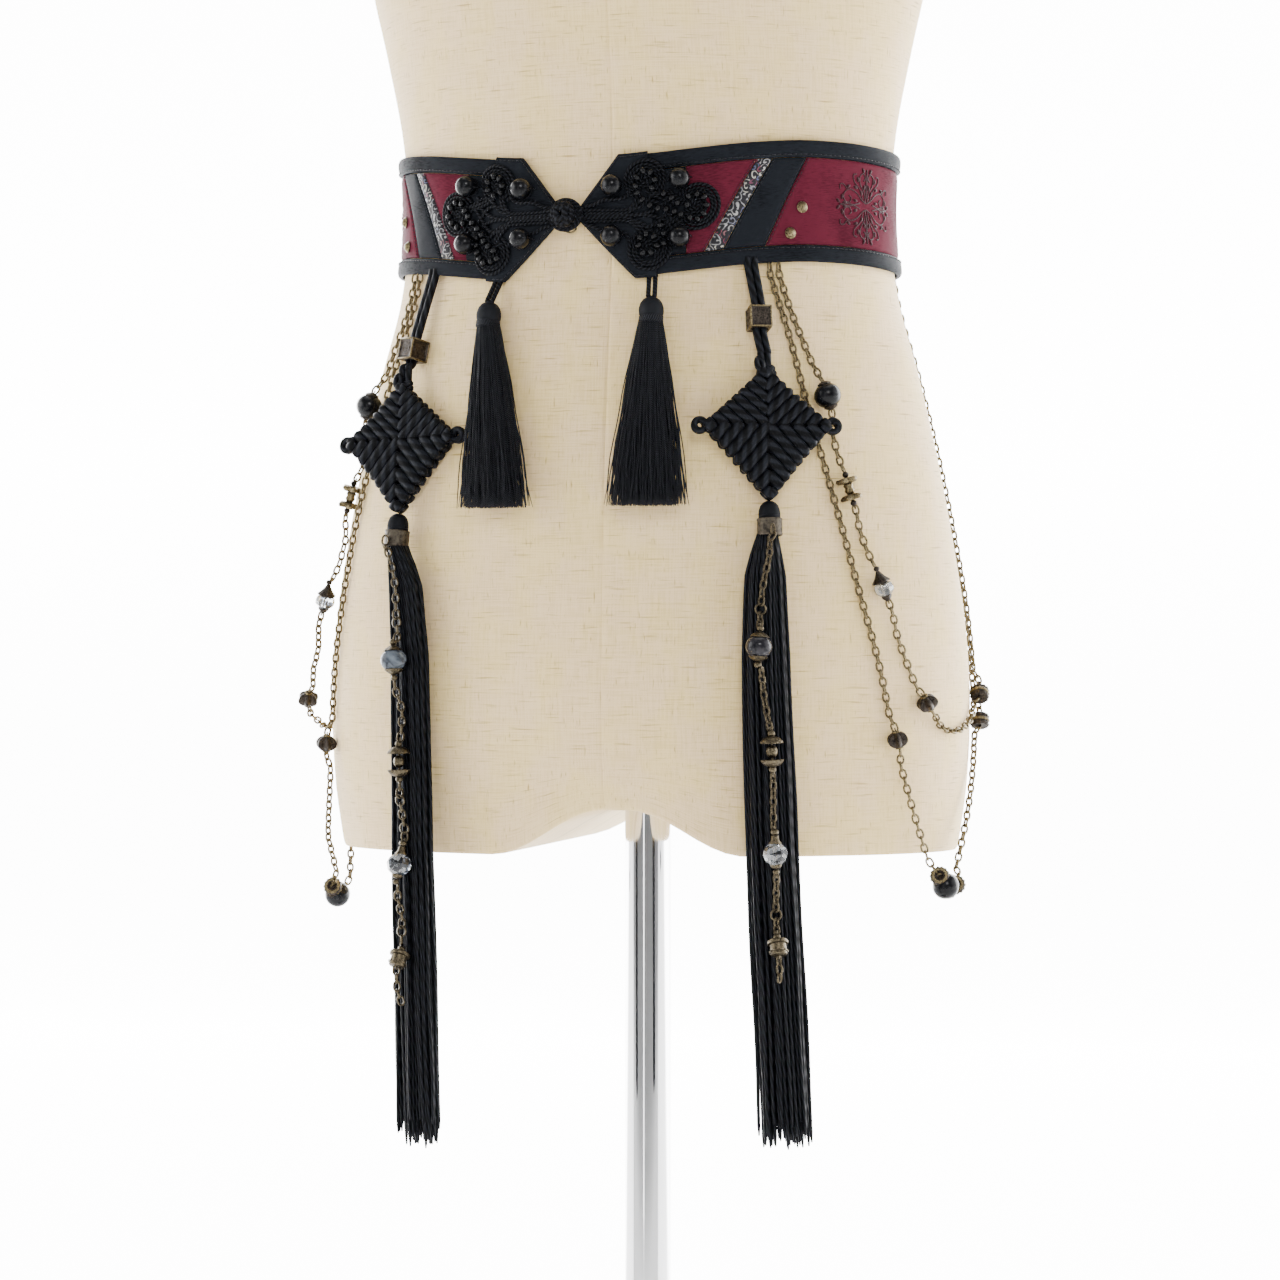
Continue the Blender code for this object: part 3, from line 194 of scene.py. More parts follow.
def make_piece(name, shape, finish, node=None, sharp=None):
    """A mesh piece that rides with the form and stands for a node, if one is named.

    A shape is points, faces and, where its finish follows the cloth, the place of each point or
    face corner on the cloth in metres. A finish is a material and its slot; the slot is not used.
    """
    points, faces, *cloth = shape
    material, slot = finish
    mesh = bpy.data.meshes.new(name)
    mesh.from_pydata([tuple(p) for p in points], [], faces)
    if cloth:
        layer = mesh.uv_layers.new(name="cloth")
        places = np.array(cloth[0], float)
        order = np.empty(len(mesh.loops), int)
        mesh.loops.foreach_get("vertex_index", order)
        spread = places if len(places) == len(order) else places[order]
        layer.data.foreach_set("uv", spread.astype(np.float32).ravel())
    bm = bmesh.new()
    bm.from_mesh(mesh)
    bmesh.ops.recalc_face_normals(bm, faces=bm.faces)
    bm.to_mesh(mesh)
    bm.free()
    mesh.shade_smooth()
    if sharp:
        mesh.set_sharp_from_angle(angle=math.radians(sharp))
    mesh.materials.append(material)
    piece = add_object(name, mesh)
    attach(piece, "root")
    if node:
        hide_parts(node)
    return piece


def noise(shader, place, scale, detail=2.0, **more):
    """The value of a noise at a place, with so many waves to a metre."""
    node = add_node(shader, "TexNoise", {"Vector": place, "Scale": scale, "Detail": detail, **more})
    return node.outputs["Fac"]


def in_the_round(shader):
    """The place in space, for a finish that isn't drawn on cloth."""
    return add_node(shader, "TexCoord").outputs["Object"]


material, shader = new_finish("polished_chrome", (0.72, 0.72, 0.73), 0.06, 1.0)
drive(shader, "Roughness", noise(shader, in_the_round(shader), 22.0, 5.0), (0.35, 0.045), (0.75, 0.13))
chrome = material, "chrome"
make_piece("stand_base", turn_on_lathe(base_rows, 96), chrome, "form_base", sharp=35)
make_piece("stand_pole", turn_on_lathe(pole_rows, 48), chrome, "form_pole", sharp=35)

# Torso. A hard shell padded all over and covered in slubbed linen, drawn smooth and closed with a
# seam up the middle in front and behind. The hem rises in an arch over the pole.

# Rows of height, half width, depth in front and depth behind, in millimetres.
form_rows = ((687, 155, 100, 112), (720, 159.5, 104, 119), (760, 161, 107, 123), (800, 158.5, 106, 121),
             (840, 152.5, 103, 114), (880, 145, 99, 104), (920, 136, 93, 93), (960, 125.5, 85.5, 84.5),
             (1000, 121.5, 82, 82), (1040, 124.5, 84, 84), (1080, 132, 91, 88), (1120, 140.5, 102, 93),
             (1170, 146.5, 112, 98), (1220, 152, 110, 101), (1265, 162, 100, 102), (1305, 171, 88, 99),
             (1332, 171, 78, 92), (1350, 155, 70, 84), (1366, 116, 64, 76), (1382, 82, 60, 68),
             (1400, 64, 57, 61), (1425, 57.5, 55, 56.5), (1463, 55, 53, 54), (1472, 49, 47.5, 48.5))
form_heights = [row[0] for row in form_rows]
hem, neck_top, hem_fade = 687, 1472, 45
arch_rise, arch_middle, arch_flat, arch_half = 22 * mm, 5 * mm, 6 * mm, 62 * mm
seam_depth, seam_side, hem_roll = 0.5 * mm, 0.18 * mm, (0.9 * mm, 0.35 * mm, 0.08 * mm)


def form_size(height, column):
    """Half width (1), front depth (2) or back depth (3) of the form at a height, on a smooth curve."""
    x = min(max(height / mm, form_heights[0]), form_heights[-1])
    i = min(max(bisect.bisect_right(form_heights, x) - 1, 0), len(form_rows) - 2)

    def slope(j):
        low, high = form_rows[max(j - 1, 0)], form_rows[min(j + 1, len(form_rows) - 1)]
        return (high[column] - low[column]) / (high[0] - low[0])

    step = form_heights[i + 1] - form_heights[i]
    u = (x - form_heights[i]) / step
    value = (2 * u**3 - 3 * u**2 + 1) * form_rows[i][column]
    value += (3 * u**2 - 2 * u**3) * form_rows[i + 1][column]
    return (value + ((u**3 - 2 * u**2 + u) * slope(i) + (u**3 - u**2) * slope(i + 1)) * step) * mm


def on_form(angle, height, out=0.0):
    """The point at an angle round the form, 0 in front and positive to +X, moved outwards."""
    wide = form_size(height, 1)
    deep = form_size(height, 2 if math.cos(angle) > 0 else 3)
    normal = Vector((math.sin(angle) / wide, -math.cos(angle) / deep, 0)).normalized()
    return Vector((wide * math.sin(angle), -deep * math.cos(angle), height)) + normal * float(out)


def hem_arch(x):
    """How far the hem is raised over the pole, at a distance from the form's middle plane."""
    off = max(0.0, abs(x - arch_middle) - arch_flat) / (arch_half - arch_flat)
    return arch_rise * (0.5 + 0.5 * math.cos(math.pi * min(off, 1.0)))


def linen_cover():
    """The cover's points, faces and places on the cloth."""
    quarter = [0, 0.25, 0.8, 2, 4] + [6 + 2.625 * k for k in range(33)]
    degrees = (quarter + [180 - t for t in reversed(quarter[:-1])] + [180 + t for t in quarter[1:]]
               + [360 - t for t in reversed(quarter[1:-1])])
    count = len(degrees)
    heights = [hem, 688, 690, 694, 700, *range(708, 1300, 8), *range(1300, 1471, 5), 1470.5, neck_top]
    points, cloth, faces = [], [], []
    for i, z in enumerate(heights):
        around = 0.0
        for k, t in enumerate(degrees):
            inset = seam_depth if t in (0, 180) else seam_side if t in (0.25, 179.75, 180.25, 359.75) else 0.0
            inset += hem_roll[i] if i < len(hem_roll) else 0.0
            point = on_form(math.radians(t), z * mm, -inset)
            point.z += hem_arch(point.x) * max(0.0, 1 - (z - hem) / hem_fade)
            if k:
                around += (point.xy - points[-1].xy).length
            points.append(point)
            cloth.append((around, z * mm))
        across_back = around + (points[-count] - points[-1]).length
        cloth[-count:] = [(x - across_back * (t > 180), y) for (x, y), t in zip(cloth[-count:], degrees)]
    for i in range(len(heights) - 1):
        for k in range(count):
            n = (k + 1) % count
            faces.append((i * count + k, i * count + n, (i + 1) * count + n, (i + 1) * count + k))
    top = len(points) - count
    points.append(Vector((0, 0, neck_top * mm)))
    cloth.append((0, 1.5))
    faces += [(top + k, top + (k + 1) % count, len(points) - 1) for k in range(count)]
    half, side = count // 2, count // 4
    for k in range(-side, side):
        strip = (k % count, (half - k) % count, (half - k - 1) % count, (k + 1) % count)
        faces.append(tuple(dict.fromkeys(strip)))
    return points, faces, cloth


def on_cloth(shader):
    """The place on the cloth in metres."""
    return add_node(shader, "UVMap", uv_map="cloth").outputs["UV"]


def drawn_noise(shader, place, across, up, detail=2.0, **more):
    """Noise drawn out over the cloth; across and up are its waves to a metre."""
    drawn = add_node(shader, "Mapping", {"Vector": place, "Scale": (across, up, 1)}).outputs["Vector"]
    return noise(shader, drawn, 1.0, detail, **more)


def calc(shader, operation, *values):
    """The outcome of a sum on values."""
    return add_node(shader, "Math", dict(enumerate(values)), operation=operation).outputs[0]


def relief(shader, height, strength, depth, **under):
    """Raise the finish's face by a height, on the relief under it."""
    bump = add_node(shader, "Bump", {"Height": height, "Strength": strength, "Distance": depth, **under})
    drive(shader, "Normal", bump.outputs["Normal"])
    return bump.outputs["Normal"]


material, shader = new_finish("slubbed_linen", (0.76, 0.67, 0.54), 0.86,
                              more={"Sheen Weight": 0.3, "Sheen Roughness": 0.5})
place = on_cloth(shader)
weave = calc(shader, "ADD", drawn_noise(shader, place, 1500, 60), drawn_noise(shader, place, 50, 1400))
mixed = ramp(shader, weave, (0.70, (0.685, 0.505, 0.245)), (1.0, (0.735, 0.550, 0.275)),
             (1.3, (0.775, 0.585, 0.305)))
for (across, up, detail), *stops in (
        ((60, 900, 1.0), (0.20, (0.56, 0.49, 0.36)), (0.38, white)),
        ((900, 150, 1.0), (0.19, (0.58, 0.51, 0.38)), (0.35, white)),
        ((45, 28, 2.0), (0.40, (1.0, 0.99, 0.86)), (0.58, (1.0, 0.98, 1.0))),
        ((9, 9, 3.0), (0.3, (0.95, 0.94, 0.92)), (0.7, white))):
    layer = ramp(shader, drawn_noise(shader, place, across, up, detail), *stops)
    mixed = add_node(shader, "MixRGB", {"Fac": 1.0, "Color1": mixed, "Color2": layer},
                     blend_type="MULTIPLY").outputs[0]
drive(shader, "Base Color", mixed)
relief(shader, weave, 0.35, 0.0004)
make_piece("torso_cover", linen_cover(), (material, "form_linen"), "form_torso", sharp=40)

# Band. Two black satin points meet in front; behind each come a red panel, a strip of brocade, a
# black strip and the long red side panel, all quilted to one stiff lining, with a black binding
# sewn along both edges. The red back panel closes the ring.
belt_height, half_height, closure_shift = 1001 * mm, 29.2 * mm, -20.9 * mm
middle_line = ((0, 993.6), (22, 993.0), (35, 993.1), (60, 996.0), (85, 999.0), (113, 1001.2), (140, 1001.2),
               (190, 999.6), (260, 998.2), (340, 998.0))
binding_inner, binding_outer, binding_crown = 1.0 * mm, 3.6 * mm, 0.5 * mm
binding_starts = {"lower": 43.0 * mm, "upper": 38.5 * mm}
panel_inner, panel_outer, panel_half, seam_gap = 1.3 * mm, 3.3 * mm, 20.9 * mm, 0.3 * mm
point_inner, point_outer, point_rear = 1.0 * mm, 4.6 * mm, ((-30.3, 43.0), (30.3, 38.5))
point_low = ((5.5, -2.5), (33, -30.3), (43, -30.3), (43.3, -20.9), (57, -20.9))
point_high = ((5.5, 4.6), (24.5, 29.6), (38.5, 30.3), (38.8, 20.9), (57, 20.9))
point_stations = ((5.5, 5.5), (11, 11), (17, 17), (24.5, 24.5), (29, 28), (33, 32), (43, 38.5), (43.3, 38.8),
                  (50, 48), (57, 57))
point_end, front_end, brocade_end = (57, 57), (65.8, 91.5), (74.7, 99.3)
stripe_end, side_end = (95.5, 117), (215, 215)
sides = (("left", -1), ("right", 1))


def linear(x, rows):
    """Straight interpolation in a short table of (x, y) rows."""
    for (x0, y0), (x1, y1) in zip(rows, rows[1:]):
        if x <= x1:
            return y0 + (y1 - y0) * max(0.0, x - x0) / (x1 - x0)
    return rows[-1][1]


arc_angles = np.radians(np.linspace(-200, 200, 1441))
belt_ring = [on_form(a, belt_height, 4 * mm) for a in arc_angles]
belt_steps = [(there - here).length for here, there in zip(belt_ring, belt_ring[1:])]
arcs = np.concatenate([[0], np.cumsum(belt_steps)])
arcs -= arcs[720]
belt_length = float(arcs[1368] - arcs[72])


def angle_at(arc):
    """The angle round the form of an arc length from the closure."""
    wanted = arc + closure_shift
    return float(np.interp(wanted - belt_length if wanted > arcs[-1] else wanted, arcs, arc_angles))


def middle_height(arc):
    """Height of the band's middle line at an arc length from the closure."""
    around = abs(arc) / mm
    around = min(around, belt_length / mm - around)
    return sum(linear(abs(around + k), middle_line) for k in (-8, -4, 0, 4, 8)) / 5 * mm


def belt_point(arc, height, out):
    """A point of the band: arc from the closure, height from its middle line, depth from the form."""
    return on_form(angle_at(arc), middle_height(arc) + height, out)


def cloth_wall(columns, low, high, inner, outer, rows, side=1, edge=0.9, rounding=1.3, ends=True):
    """A wall of cloth with rolled edges; columns are (arc at the lower edge, arc at the upper edge).

    low, high and outer give the lower edge, the upper edge and the face at an arc length.
    """
    shares = [0, 0.006, 0.02, 0.05] + [0.05 + 0.9 * k / rows for k in range(1, rows)] + [0.95, 0.98, 0.994, 1]
    points, cloth, faces = [], [], []
    first, last = columns[0][0], columns[-1][0]
    for is_back in (False, True):
        for start, end in columns:
            tall = high(end) - low(start)
            for v in shares:
                gone = min(v * tall, (1 - v) * tall)
                if ends:
                    gone = min(gone, abs(start - first) + 0.02 * mm, abs(last - start) + 0.02 * mm)
                roll = edge * mm * math.exp(-gone / (rounding * mm))
                depth = inner + 0.3 * roll if is_back else outer(start, v) - roll
                arc, height = start + (end - start) * v, low(start) + tall * v
                points.append(belt_point(side * arc, height, depth))
                cloth.append((arc, height))
    n, m = len(columns), len(shares)
    for i in range(n - 1):
        for j in range(m - 1):
            a, b = i * m + j, (n + i) * m + j
            faces += [(a, a + m, a + m + 1, a + 1), (b, b + 1, b + m + 1, b + m)]
        a, b = i * m, (n + i) * m
        faces.append((a, b, b + m, a + m))
        a, b = a + m - 1, b + m - 1
        faces.append((a, a + m, b + m, b))
    for i in (0, n - 1):
        for j in range(m - 1):
            a, b = i * m + j, (n + i) * m + j
            faces.append((a, a + 1, b + 1, b))
    return points, faces, cloth


def panel_wall(start, end, side=1):
    """The wall of a panel between two slanting seams, its columns closer at both so that they roll."""
    first = [(a + 0.2) * mm for a in start]
    last = [(a - 0.2) * mm for a in end]
    wide = (sum(last) - sum(first)) / 2
    steps = max(3, round(wide / (3 * mm)))
    shares = [0, 0.2 * mm / wide, 0.7 * mm / wide, 1.6 * mm / wide]
    shares += [k / steps for k in range(1, steps) if 2.4 * mm < k / steps * wide < wide - 2.4 * mm]
    shares += [1 - s for s in reversed(shares[:4])]
    columns = [tuple(a + (b - a) * s for a, b in zip(first, last)) for s in shares]
    return cloth_wall(columns, lambda arc: -panel_half, lambda arc: panel_half, panel_inner,
                      lambda arc, v: panel_outer, 14, side)


def point_wall(side):
    """The wall of a satin point, thicker in front of its seam with the bindings."""
    columns = []
    for a, b in zip(point_stations, point_stations[1:]):
        steps = max(1, round((b[0] - a[0]) / 1.6))
        columns += [tuple((x + (y - x) * k / steps) * mm for x, y in zip(a, b)) for k in range(steps)]
    columns.append(tuple(x * mm for x in point_stations[-1]))
    return cloth_wall(columns, lambda arc: linear(arc / mm, point_low) * mm,
                      lambda arc: linear(arc / mm, point_high) * mm, point_inner,
                      lambda arc, v: point_outer if arc < 43.1 * mm else panel_outer, 16, side,
                      edge=1.2, rounding=0.9, ends=False)


def binding_wall(start, low, high):
    """The wall of a binding round the band, crowned between its edges."""
    long = belt_length - 2 * start
    steps = round(long / (3 * mm))
    columns = [(start + long * k / steps,) * 2 for k in range(steps + 1)]
    return cloth_wall(columns, lambda arc: low, lambda arc: high, binding_inner,
                      lambda arc, v: binding_outer + binding_crown * (1 - (2 * v - 1) ** 2), 10,
                      edge=0.75, rounding=0.6)


def satin(name, slot, dark, light, thread, sheen, roughness, gloss):
    """Satin: long floats over a fine ground, woven round the belt, with a broken sheen."""
    made, shader = new_finish(name, light, roughness, more={
        "Sheen Weight": sheen, "Sheen Roughness": 0.35, "Specular IOR Level": gloss})
    place = on_cloth(shader)
    floats = drawn_noise(shader, place, 260, 260 * thread, 3.0, Roughness=0.65)
    both = calc(shader, "ADD", floats, noise(shader, place, 34.0, 4.0))
    drive(shader, "Base Color", both, (0.78, dark), (1.24, light))
    drive(shader, "Roughness", both, (0.75, roughness + 0.12), (1.3, roughness - 0.1))
    fine = relief(shader, floats, 0.4, 0.00025)
    relief(shader, noise(shader, place, 55.0), 0.3, 0.0016, Normal=fine)
    return made, slot


black_satin = satin("black_satin_cloth", "black_satin", (0.0036, 0.0042, 0.0054), (0.0094, 0.0108, 0.0138),
                    7, 0.0, 0.6, 0.02)
red_satin = satin("burgundy_satin_cloth", "red_satin", (0.046, 0.0064, 0.0130), (0.076, 0.0106, 0.0205),
                  8, 0.0, 0.6, 0.01)


def scroll_brocade():
    """Brocade: a close pattern of coloured scrolls on a black ground, a spiral round each of many spots."""
    made, shader = new_finish("scroll_brocade", (0.2, 0.19, 0.2), 0.45, more={
        "Sheen Weight": 0.03, "Specular IOR Level": 0.25})
    place, spot_count, coils = on_cloth(shader), 290.0, 17.0
    wave = add_node(shader, "TexNoise", {"Vector": place, "Scale": 120.0, "Detail": 1.0}).outputs["Color"]
    bent = add_node(shader, "MixRGB", {"Fac": 0.004, "Color1": place, "Color2": wave},
                    blend_type="ADD").outputs[0]
    spots = add_node(shader, "TexVoronoi", {"Vector": bent, "Scale": spot_count, "Randomness": 0.9},
                     voronoi_dimensions="2D").outputs
    arm = add_node(shader, "VectorMath", {0: bent, 1: spots["Position"]}, operation="SUBTRACT").outputs[0]
    arm = add_node(shader, "VectorMath", {0: arm, 1: (spot_count,) * 3}, operation="MULTIPLY").outputs[0]
    split = add_node(shader, "SeparateXYZ", {"Vector": arm}).outputs
    reach = add_node(shader, "VectorMath", {0: arm}, operation="LENGTH").outputs["Value"]
    wound = calc(shader, "MULTIPLY_ADD", reach, coils, calc(shader, "ARCTAN2", split["Y"], split["X"]))
    line_share = add_node(shader, "MapRange", {"Value": calc(shader, "SINE", wound), "From Min": 0.42,
                                               "From Max": 0.85}).outputs[0]
    hue = add_node(shader, "SeparateColor", {"Color": spots["Color"]}).outputs[0]
    thread_colour = ramp(shader, hue, (0.0, (0.30, 0.29, 0.28)), (0.5, (0.22, 0.22, 0.235)),
                         (0.56, (0.055, 0.065, 0.13)), (0.70, (0.09, 0.095, 0.17)),
                         (0.75, (0.12, 0.02, 0.04)),
                         (0.84, (0.15, 0.035, 0.05)), (0.9, (0.30, 0.285, 0.25)), (1.0, (0.34, 0.325, 0.28)))
    drive(shader, "Base Color", add_node(shader, "MixRGB", {
        "Fac": line_share, "Color1": (0.005, 0.0045, 0.007, 1), "Color2": thread_colour}).outputs[0])
    picks = drawn_noise(shader, place, 900, 2600, 1.0)
    relief(shader, calc(shader, "MULTIPLY_ADD", line_share, 2.0, picks), 0.5, 0.0003)
    drive(shader, "Roughness", line_share, (0.0, 0.6), (1.0, 0.34))
    return made, "brocade"


brocade = scroll_brocade()


def lay_cloth(name, finish, node, wall):
    """A piece of the band's cloth in place of its solid."""
    piece = make_piece(name, wall, finish, node, sharp=50)


for word, side in sides:
    lay_cloth("satin_point_" + word, black_satin, "point_" + word, point_wall(side))
    for name, finish, node, start, end in (("red_front_", red_satin, "front_panel_", point_end, front_end),
                                           ("woven_strip_", brocade, "brocade_", front_end, brocade_end),
                                           ("black_strip_", black_satin, "stripe_", brocade_end, stripe_end),
                                           ("red_side_", red_satin, "side_panel_", stripe_end, side_end)):
        wide = (sum(end) - sum(start)) / 2 * mm
        lay_cloth(name + word, finish, node + word, panel_wall(start, end, side))
rest = belt_length / mm - side_end[0]
lay_cloth("red_back", red_satin, "back_panel", panel_wall(side_end, (rest, rest)))
for word, low, high in (("upper", panel_half + seam_gap, half_height),
                        ("lower", -half_height, -panel_half - seam_gap)):
    start = binding_starts[word]
    lay_cloth("binding_strip_" + word, black_satin, "binding_" + word, binding_wall(start, low, high))

# Band stitching. Short running stitches of black thread hold both bindings and the edges of the
# points, and more run beside the slanting seams.
binding_stitch, point_stitch, seam_stitch = (2.7, 1.9, 0.2), (2.4, 1.7, 0.19), (2.4, 1.7, 0.17)


def run_along(path):
    """The length of a path up to each of its points, and the path as an array."""
    path = np.array([tuple(p) for p in path], float)
    return np.concatenate([[0], np.cumsum(np.linalg.norm(np.diff(path, axis=0), axis=1))]), path


def along_path(path, step):
    """Even places along a path: points, tangents and lengths from the start."""
    run, path = run_along(path)
    places = np.linspace(0, run[-1], max(2, int(round(run[-1] / step)) + 1))
    points = np.stack([np.interp(places, run, path[:, k]) for k in range(3)], 1)
    tangents = np.gradient(points, axis=0)
    tangents /= np.linalg.norm(tangents, axis=1)[:, None]
    return points, tangents, places


def smooth_line(points, steps=6):
    """A smooth line through points of any number of values."""
    rows = [np.array(tuple(p), float) for p in points]
    line = []
    for i in range(len(rows) - 1):
        a, b, c, d = rows[max(i - 1, 0)], rows[i], rows[i + 1], rows[min(i + 2, len(rows) - 1)]
        for u in (k / steps for k in range(steps)):
            line.append(0.5 * (2 * b + (c - a) * u + (2 * a - 5 * b + 4 * c - d) * u**2
                               + (3 * b - a - 3 * c + d) * u**3))
    return line + [rows[-1]]


def cord_shape(path, radius, sides=8, closed=False):
    """A cord along a path: points, faces and each face corner's place round and along it, in metres."""
    run, path = run_along(path)
    count = len(path)
    radii = np.broadcast_to(np.array(radius, float), (count,))
    ahead = np.roll(path, -1, 0) if closed else np.vstack([path[1:], path[-1:]])
    behind = np.roll(path, 1, 0) if closed else np.vstack([path[:1], path[:-1]])
    forward = ahead - behind
    forward /= np.linalg.norm(forward, axis=1)[:, None]
    across = np.cross(forward[0], (0, 0, 1))
    if np.linalg.norm(across) < 0.2:
        across = np.cross(forward[0], (0.3, -1, 0.1))
    rings = []
    turns = np.arange(sides) * full_turn / sides
    for i in range(count):
        across = across - forward[i] * across.dot(forward[i])
        across /= np.linalg.norm(across)
        other = np.cross(forward[i], across)
        rings.append(path[i] + radii[i] * (np.cos(turns)[:, None] * across + np.sin(turns)[:, None] * other))
    faces, cloth = [], []
    for i in range(count if closed else count - 1):
        low, high = i * sides, ((i + 1) % count) * sides
        near, far = run[i], run[i + 1] if i + 1 < count else run[i] + np.linalg.norm(path[0] - path[-1])
        for k in range(sides):
            n = (k + 1) % sides
            faces.append((low + k, low + n, high + n, high + k))
            cloth += [(k / sides, near), ((k + 1) / sides, near), ((k + 1) / sides, far), (k / sides, far)]
    if not closed:
        faces += [tuple(reversed(range(sides))), tuple(range((count - 1) * sides, count * sides))]
        cloth += [(0.5, run[0])] * sides + [(0.5, run[-1])] * sides
    return np.vstack(rings), faces, cloth


def join(shapes):
    """Several shapes with their face corners' places as one."""
    points, faces, cloth, start = [], [], [], 0
    for part in shapes:
        points.append(np.array([tuple(p) for p in part[0]], float))
        faces += [tuple(i + start for i in face) for face in part[1]]
        cloth += part[2] if len(part) > 2 else [(0, 0)] * sum(len(f) for f in part[1])
        start += len(part[0])
    return np.vstack(points), faces, cloth


def stitches(line, pitch, length, radius):
    """Short threads along a line of points, in millimetres, each dipping into the cloth at both ends."""
    points, tangents, _ = along_path(line, pitch * mm)
    arch = ((-0.5, -1.2), (-0.32, 0.3), (0, 0.75), (0.32, 0.3), (0.5, -1.2))
    shapes = []
    for p, t in zip(points, tangents):
        p, t = Vector(p), Vector(t)
        out = Vector((p.x, p.y, 0)).normalized()
        path = [p + t * (length * mm * x) + out * (radius * mm * z) for x, z in arch]
        shapes.append(cord_shape(path, radius * mm, 5))
    return shapes


thread = satin("black_sewing_thread", "black_satin", (0.003, 0.003, 0.004), (0.010, 0.011, 0.014),
               30, 0.02, 0.5, 0.2)
sewn = []
for word, height in (("upper", panel_half + 1.5 * mm), ("lower", -panel_half - 1.5 * mm)):
    start = binding_starts[word] + 2.2 * mm
    long = belt_length - 2 * start
    line = [belt_point(start + long * k / 220, height, binding_outer + 0.42 * mm) for k in range(221)]
    sewn += stitches(line, *binding_stitch)
for _, side in sides:
    for rows, inset in ((point_low, 1.6 * 0.7), (point_high, -1.6 * 0.9)):
        line = [belt_point(side * s * mm, (linear(s, rows[:3]) + inset) * mm, point_outer - 0.1 * mm)
                for s in np.linspace(8.5, 38.0, 40)]
        sewn += stitches(line, *point_stitch)
    for (low, high), gap in ((front_end, -1.1), (brocade_end, 1.1), (stripe_end, -1.1), (stripe_end, 1.1)):
        line = [belt_point(side * (low + (high - low) * v + gap) * mm, (2 * v - 1) * panel_half,
                           panel_outer - 0.42 * mm) for v in np.linspace(0.03, 0.97, 30)]
        sewn += stitches(line, *seam_stitch)
make_piece("band_stitching", join(sewn), thread)

# Side motifs. A scrolling leaf pattern is embroidered in dark thread on both red side panels. One
# quarter of it is drawn, in millimetres from its middle, and mirrored to the other three.
motif_s, motif_h, stem, leaf_half = 153.4, -0.4, 0.38 * mm, 1.5
motif_lines = (
    ((0.0, 1.5), (3.2, 3.0), (7.0, 6.2), (11.5, 7.6), (15.0, 5.4), (14.6, 2.0), (11.8, 1.2), (10.4, 3.2),
     (11.8, 4.6)),
    ((0.8, 2.2), (1.6, 6.5), (4.4, 10.4), (4.9, 14.2), (2.6, 15.8), (0.9, 13.8), (2.2, 12.2)),
    ((2.6, 3.4), (5.0, 8.2), (8.6, 11.4), (9.3, 14.6), (7.3, 15.2)),
    ((4.6, 1.4), (8.0, 0.4), (12.0, -0.6), (17.6, 0.0)),
    ((0.0, 4.0), (0.4, 10.0), (0.0, 18.0)),
    ((13.0, 7.4), (15.6, 9.8), (17.6, 9.4), (17.4, 7.4)),
)
motif_leaves = ((3.6, 6.6, 60), (7.6, 8.8, 20), (12.4, 8.9, -30), (16.2, 3.6, -80), (6.2, 12.8, 80),
                (1.6, 9.2, 100),
                (7.6, 2.4, 15), (14.4, -1.0, 0), (2.6, 17.2, 60), (18.6, 1.6, 40))
leaf_widths = np.array([0.08, 0.62, 0.85, 0.55, 0.06]) * mm


def embroidered(side, mirror_s, mirror_h):
    """One quarter of a side motif: stem lines and leaves as raised satin stitches."""

    def at(s, h, lift):
        return belt_point(side * (motif_s + mirror_s * s) * mm, (motif_h + mirror_h * h) * mm,
                          panel_outer + lift * mm)

    shapes = [cord_shape([at(s, h, 0.02) for s, h in smooth_line(row)], stem, 6) for row in motif_lines]
    for s, h, turn in motif_leaves:
        x, y = leaf_half * math.cos(math.radians(turn)), leaf_half * math.sin(math.radians(turn))
        leaf = [at(s + k * x, h + k * y, -0.02) for k in (-1, -0.6, 0, 0.6, 1)]
        shapes.append(cord_shape(leaf, leaf_widths, 7))
    return shapes


motif_thread = satin("dark_embroidery_thread", "red_satin", (0.014, 0.0024, 0.004), (0.030, 0.0048, 0.0085),
                     60, 0.02, 0.5, 0.12)
for word, side in sides:
    quarters = [shape for a in (-1, 1) for b in (-1, 1) for shape in embroidered(side, a, b)]
    make_piece("leaf_motif_" + word, join(quarters), motif_thread)

# Frog. Two black rayon cords are couched down side by side on both points. They run out from the
# closure and coil into three petals, with braided cords beside them, and strings of small glass
# beads are sewn between the coils.
frog_stem = ((8.6, 1.9), (20, 1.9), (31, 2.6))
frog_petals = ((37.5, 16.5, 6.6, -112, -428), (62.5, 1.0, 8.0, 158, -158), (40, -17, 7, 68, -248))
cord_pair, cord_half, braid_half, coil_pitch = 0.75, 0.76 * mm, 0.84 * mm, 1.7
braid_lines = (((8.6, 4.2), (13, 5.2), (18, 7.6), (23.5, 7.8), (28.5, 9.0), (30.6, 13)),
               ((9, 0.2), (16, 0.1), (24, 0.2), (31, 0.2), (37, 0.4), (44, 2.2), (49, 6.2), (50, 10.5)),
               ((32, 4.6), (38, 6.2), (43, 5.2), (47, 1.4), (51, -3.6), (55, -5.8)),
               ((30.5, 2.6), (36, 3.9), (41, 8.8), (46.5, 9.8), (52, 7.0), (55.5, 4.4)))
